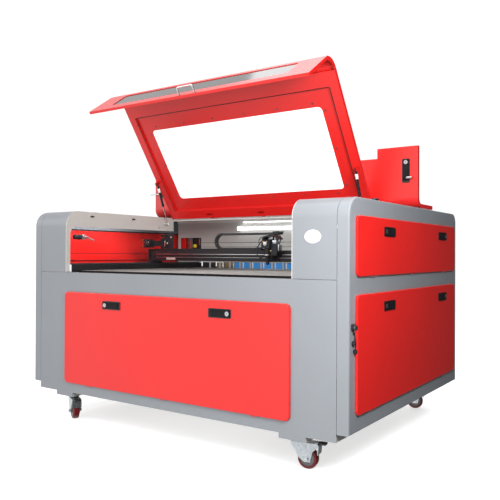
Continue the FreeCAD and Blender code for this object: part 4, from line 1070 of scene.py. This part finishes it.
def studio_sky(tree):
    """White surround that falls off to dark on the right of the machine."""
    coords = tree.nodes.new("ShaderNodeTexCoord")
    lobe = tree.nodes.new("ShaderNodeVectorMath")
    lobe.operation = "DOT_PRODUCT"
    tree.links.new(coords.outputs["Generated"], lobe.inputs[0])
    heading = math.radians(25)
    lobe.inputs[1].default_value = (math.cos(heading), math.sin(heading), 0)
    span = tree.nodes.new("ShaderNodeMapRange")
    span.interpolation_type = "SMOOTHSTEP"
    span.inputs["From Min"].default_value = math.cos(math.radians(95))
    span.inputs["From Max"].default_value = math.cos(math.radians(50))
    span.inputs["To Min"].default_value = 1.0
    span.inputs["To Max"].default_value = 0.05
    tree.links.new(lobe.outputs["Value"], span.inputs["Value"])
    background = tree.nodes["Background"]
    tree.links.new(span.outputs["Result"], background.inputs["Color"])
    background.inputs["Strength"].default_value = 1.0


def area_light(name, place, target, size, power):
    """A rectangular lamp that the camera can't see."""
    light = bpy.data.lights.new(name, "AREA")
    light.shape = "RECTANGLE"
    light.size, light.size_y = size
    light.energy = power
    obj = bpy.data.objects.new(name, light)
    bpy.context.scene.collection.objects.link(obj)
    obj.location = place
    obj.rotation_euler = (Vector(target) - Vector(place)).to_track_quat("-Z", "Y").to_euler()
    obj.visible_camera = False
    return obj


def camera():
    """Eye about 3.4 m away at 0.85 m height, looking 34.5 degrees left of straight ahead."""
    turn, tilt, roll = math.radians(34.48), math.radians(0.37), math.radians(0.25)
    ahead = Vector((-math.sin(turn) * math.cos(tilt), math.cos(turn) * math.cos(tilt), math.sin(tilt)))
    right = Vector((math.cos(turn), math.sin(turn), 0))
    up = right.cross(ahead)
    across = right * math.cos(roll) + up * math.sin(roll)
    up = across.cross(ahead)
    data = bpy.data.cameras.new("camera")
    data.lens = 45.563
    data.sensor_width = 36.0
    data.clip_end = 100
    obj = bpy.data.objects.new("camera", data)
    bpy.context.scene.collection.objects.link(obj)
    matrix = Matrix((across, up, -ahead)).transposed().to_4x4()
    matrix.translation = at(1955.6, -2155.0, 853.0)
    obj.matrix_world = matrix
    bpy.context.scene.camera = obj


stage()
area_light("key", (0.6, -4.8, 3.2), (0.0, 0, 0.7), (3.0, 3.0), 54)
area_light("lid", (0.3, -3.2, 0.25), (0.0, 0.2, 1.35), (2.5, 0.6), 28).visible_glossy = False
area_light("side", (1.9, -1.45, 1.55), (0.92, 0.0, 0.85), (0.7, 0.7), 60).visible_glossy = False
area_light("column", at(-705, 330, 1035), at(-930, 330, 870), (0.6, 0.02), 2.2).visible_glossy = False
area_light("fill", (-3.8, -3.6, 2.6), (0, 0, 0.7), (3.5, 2.5), 50)
area_light("top", (0, 0.2, 4.5), (0, 0, 0.5), (4.0, 4.0), 90)
camera()
bpy.context.scene.view_settings.view_transform = "Standard"
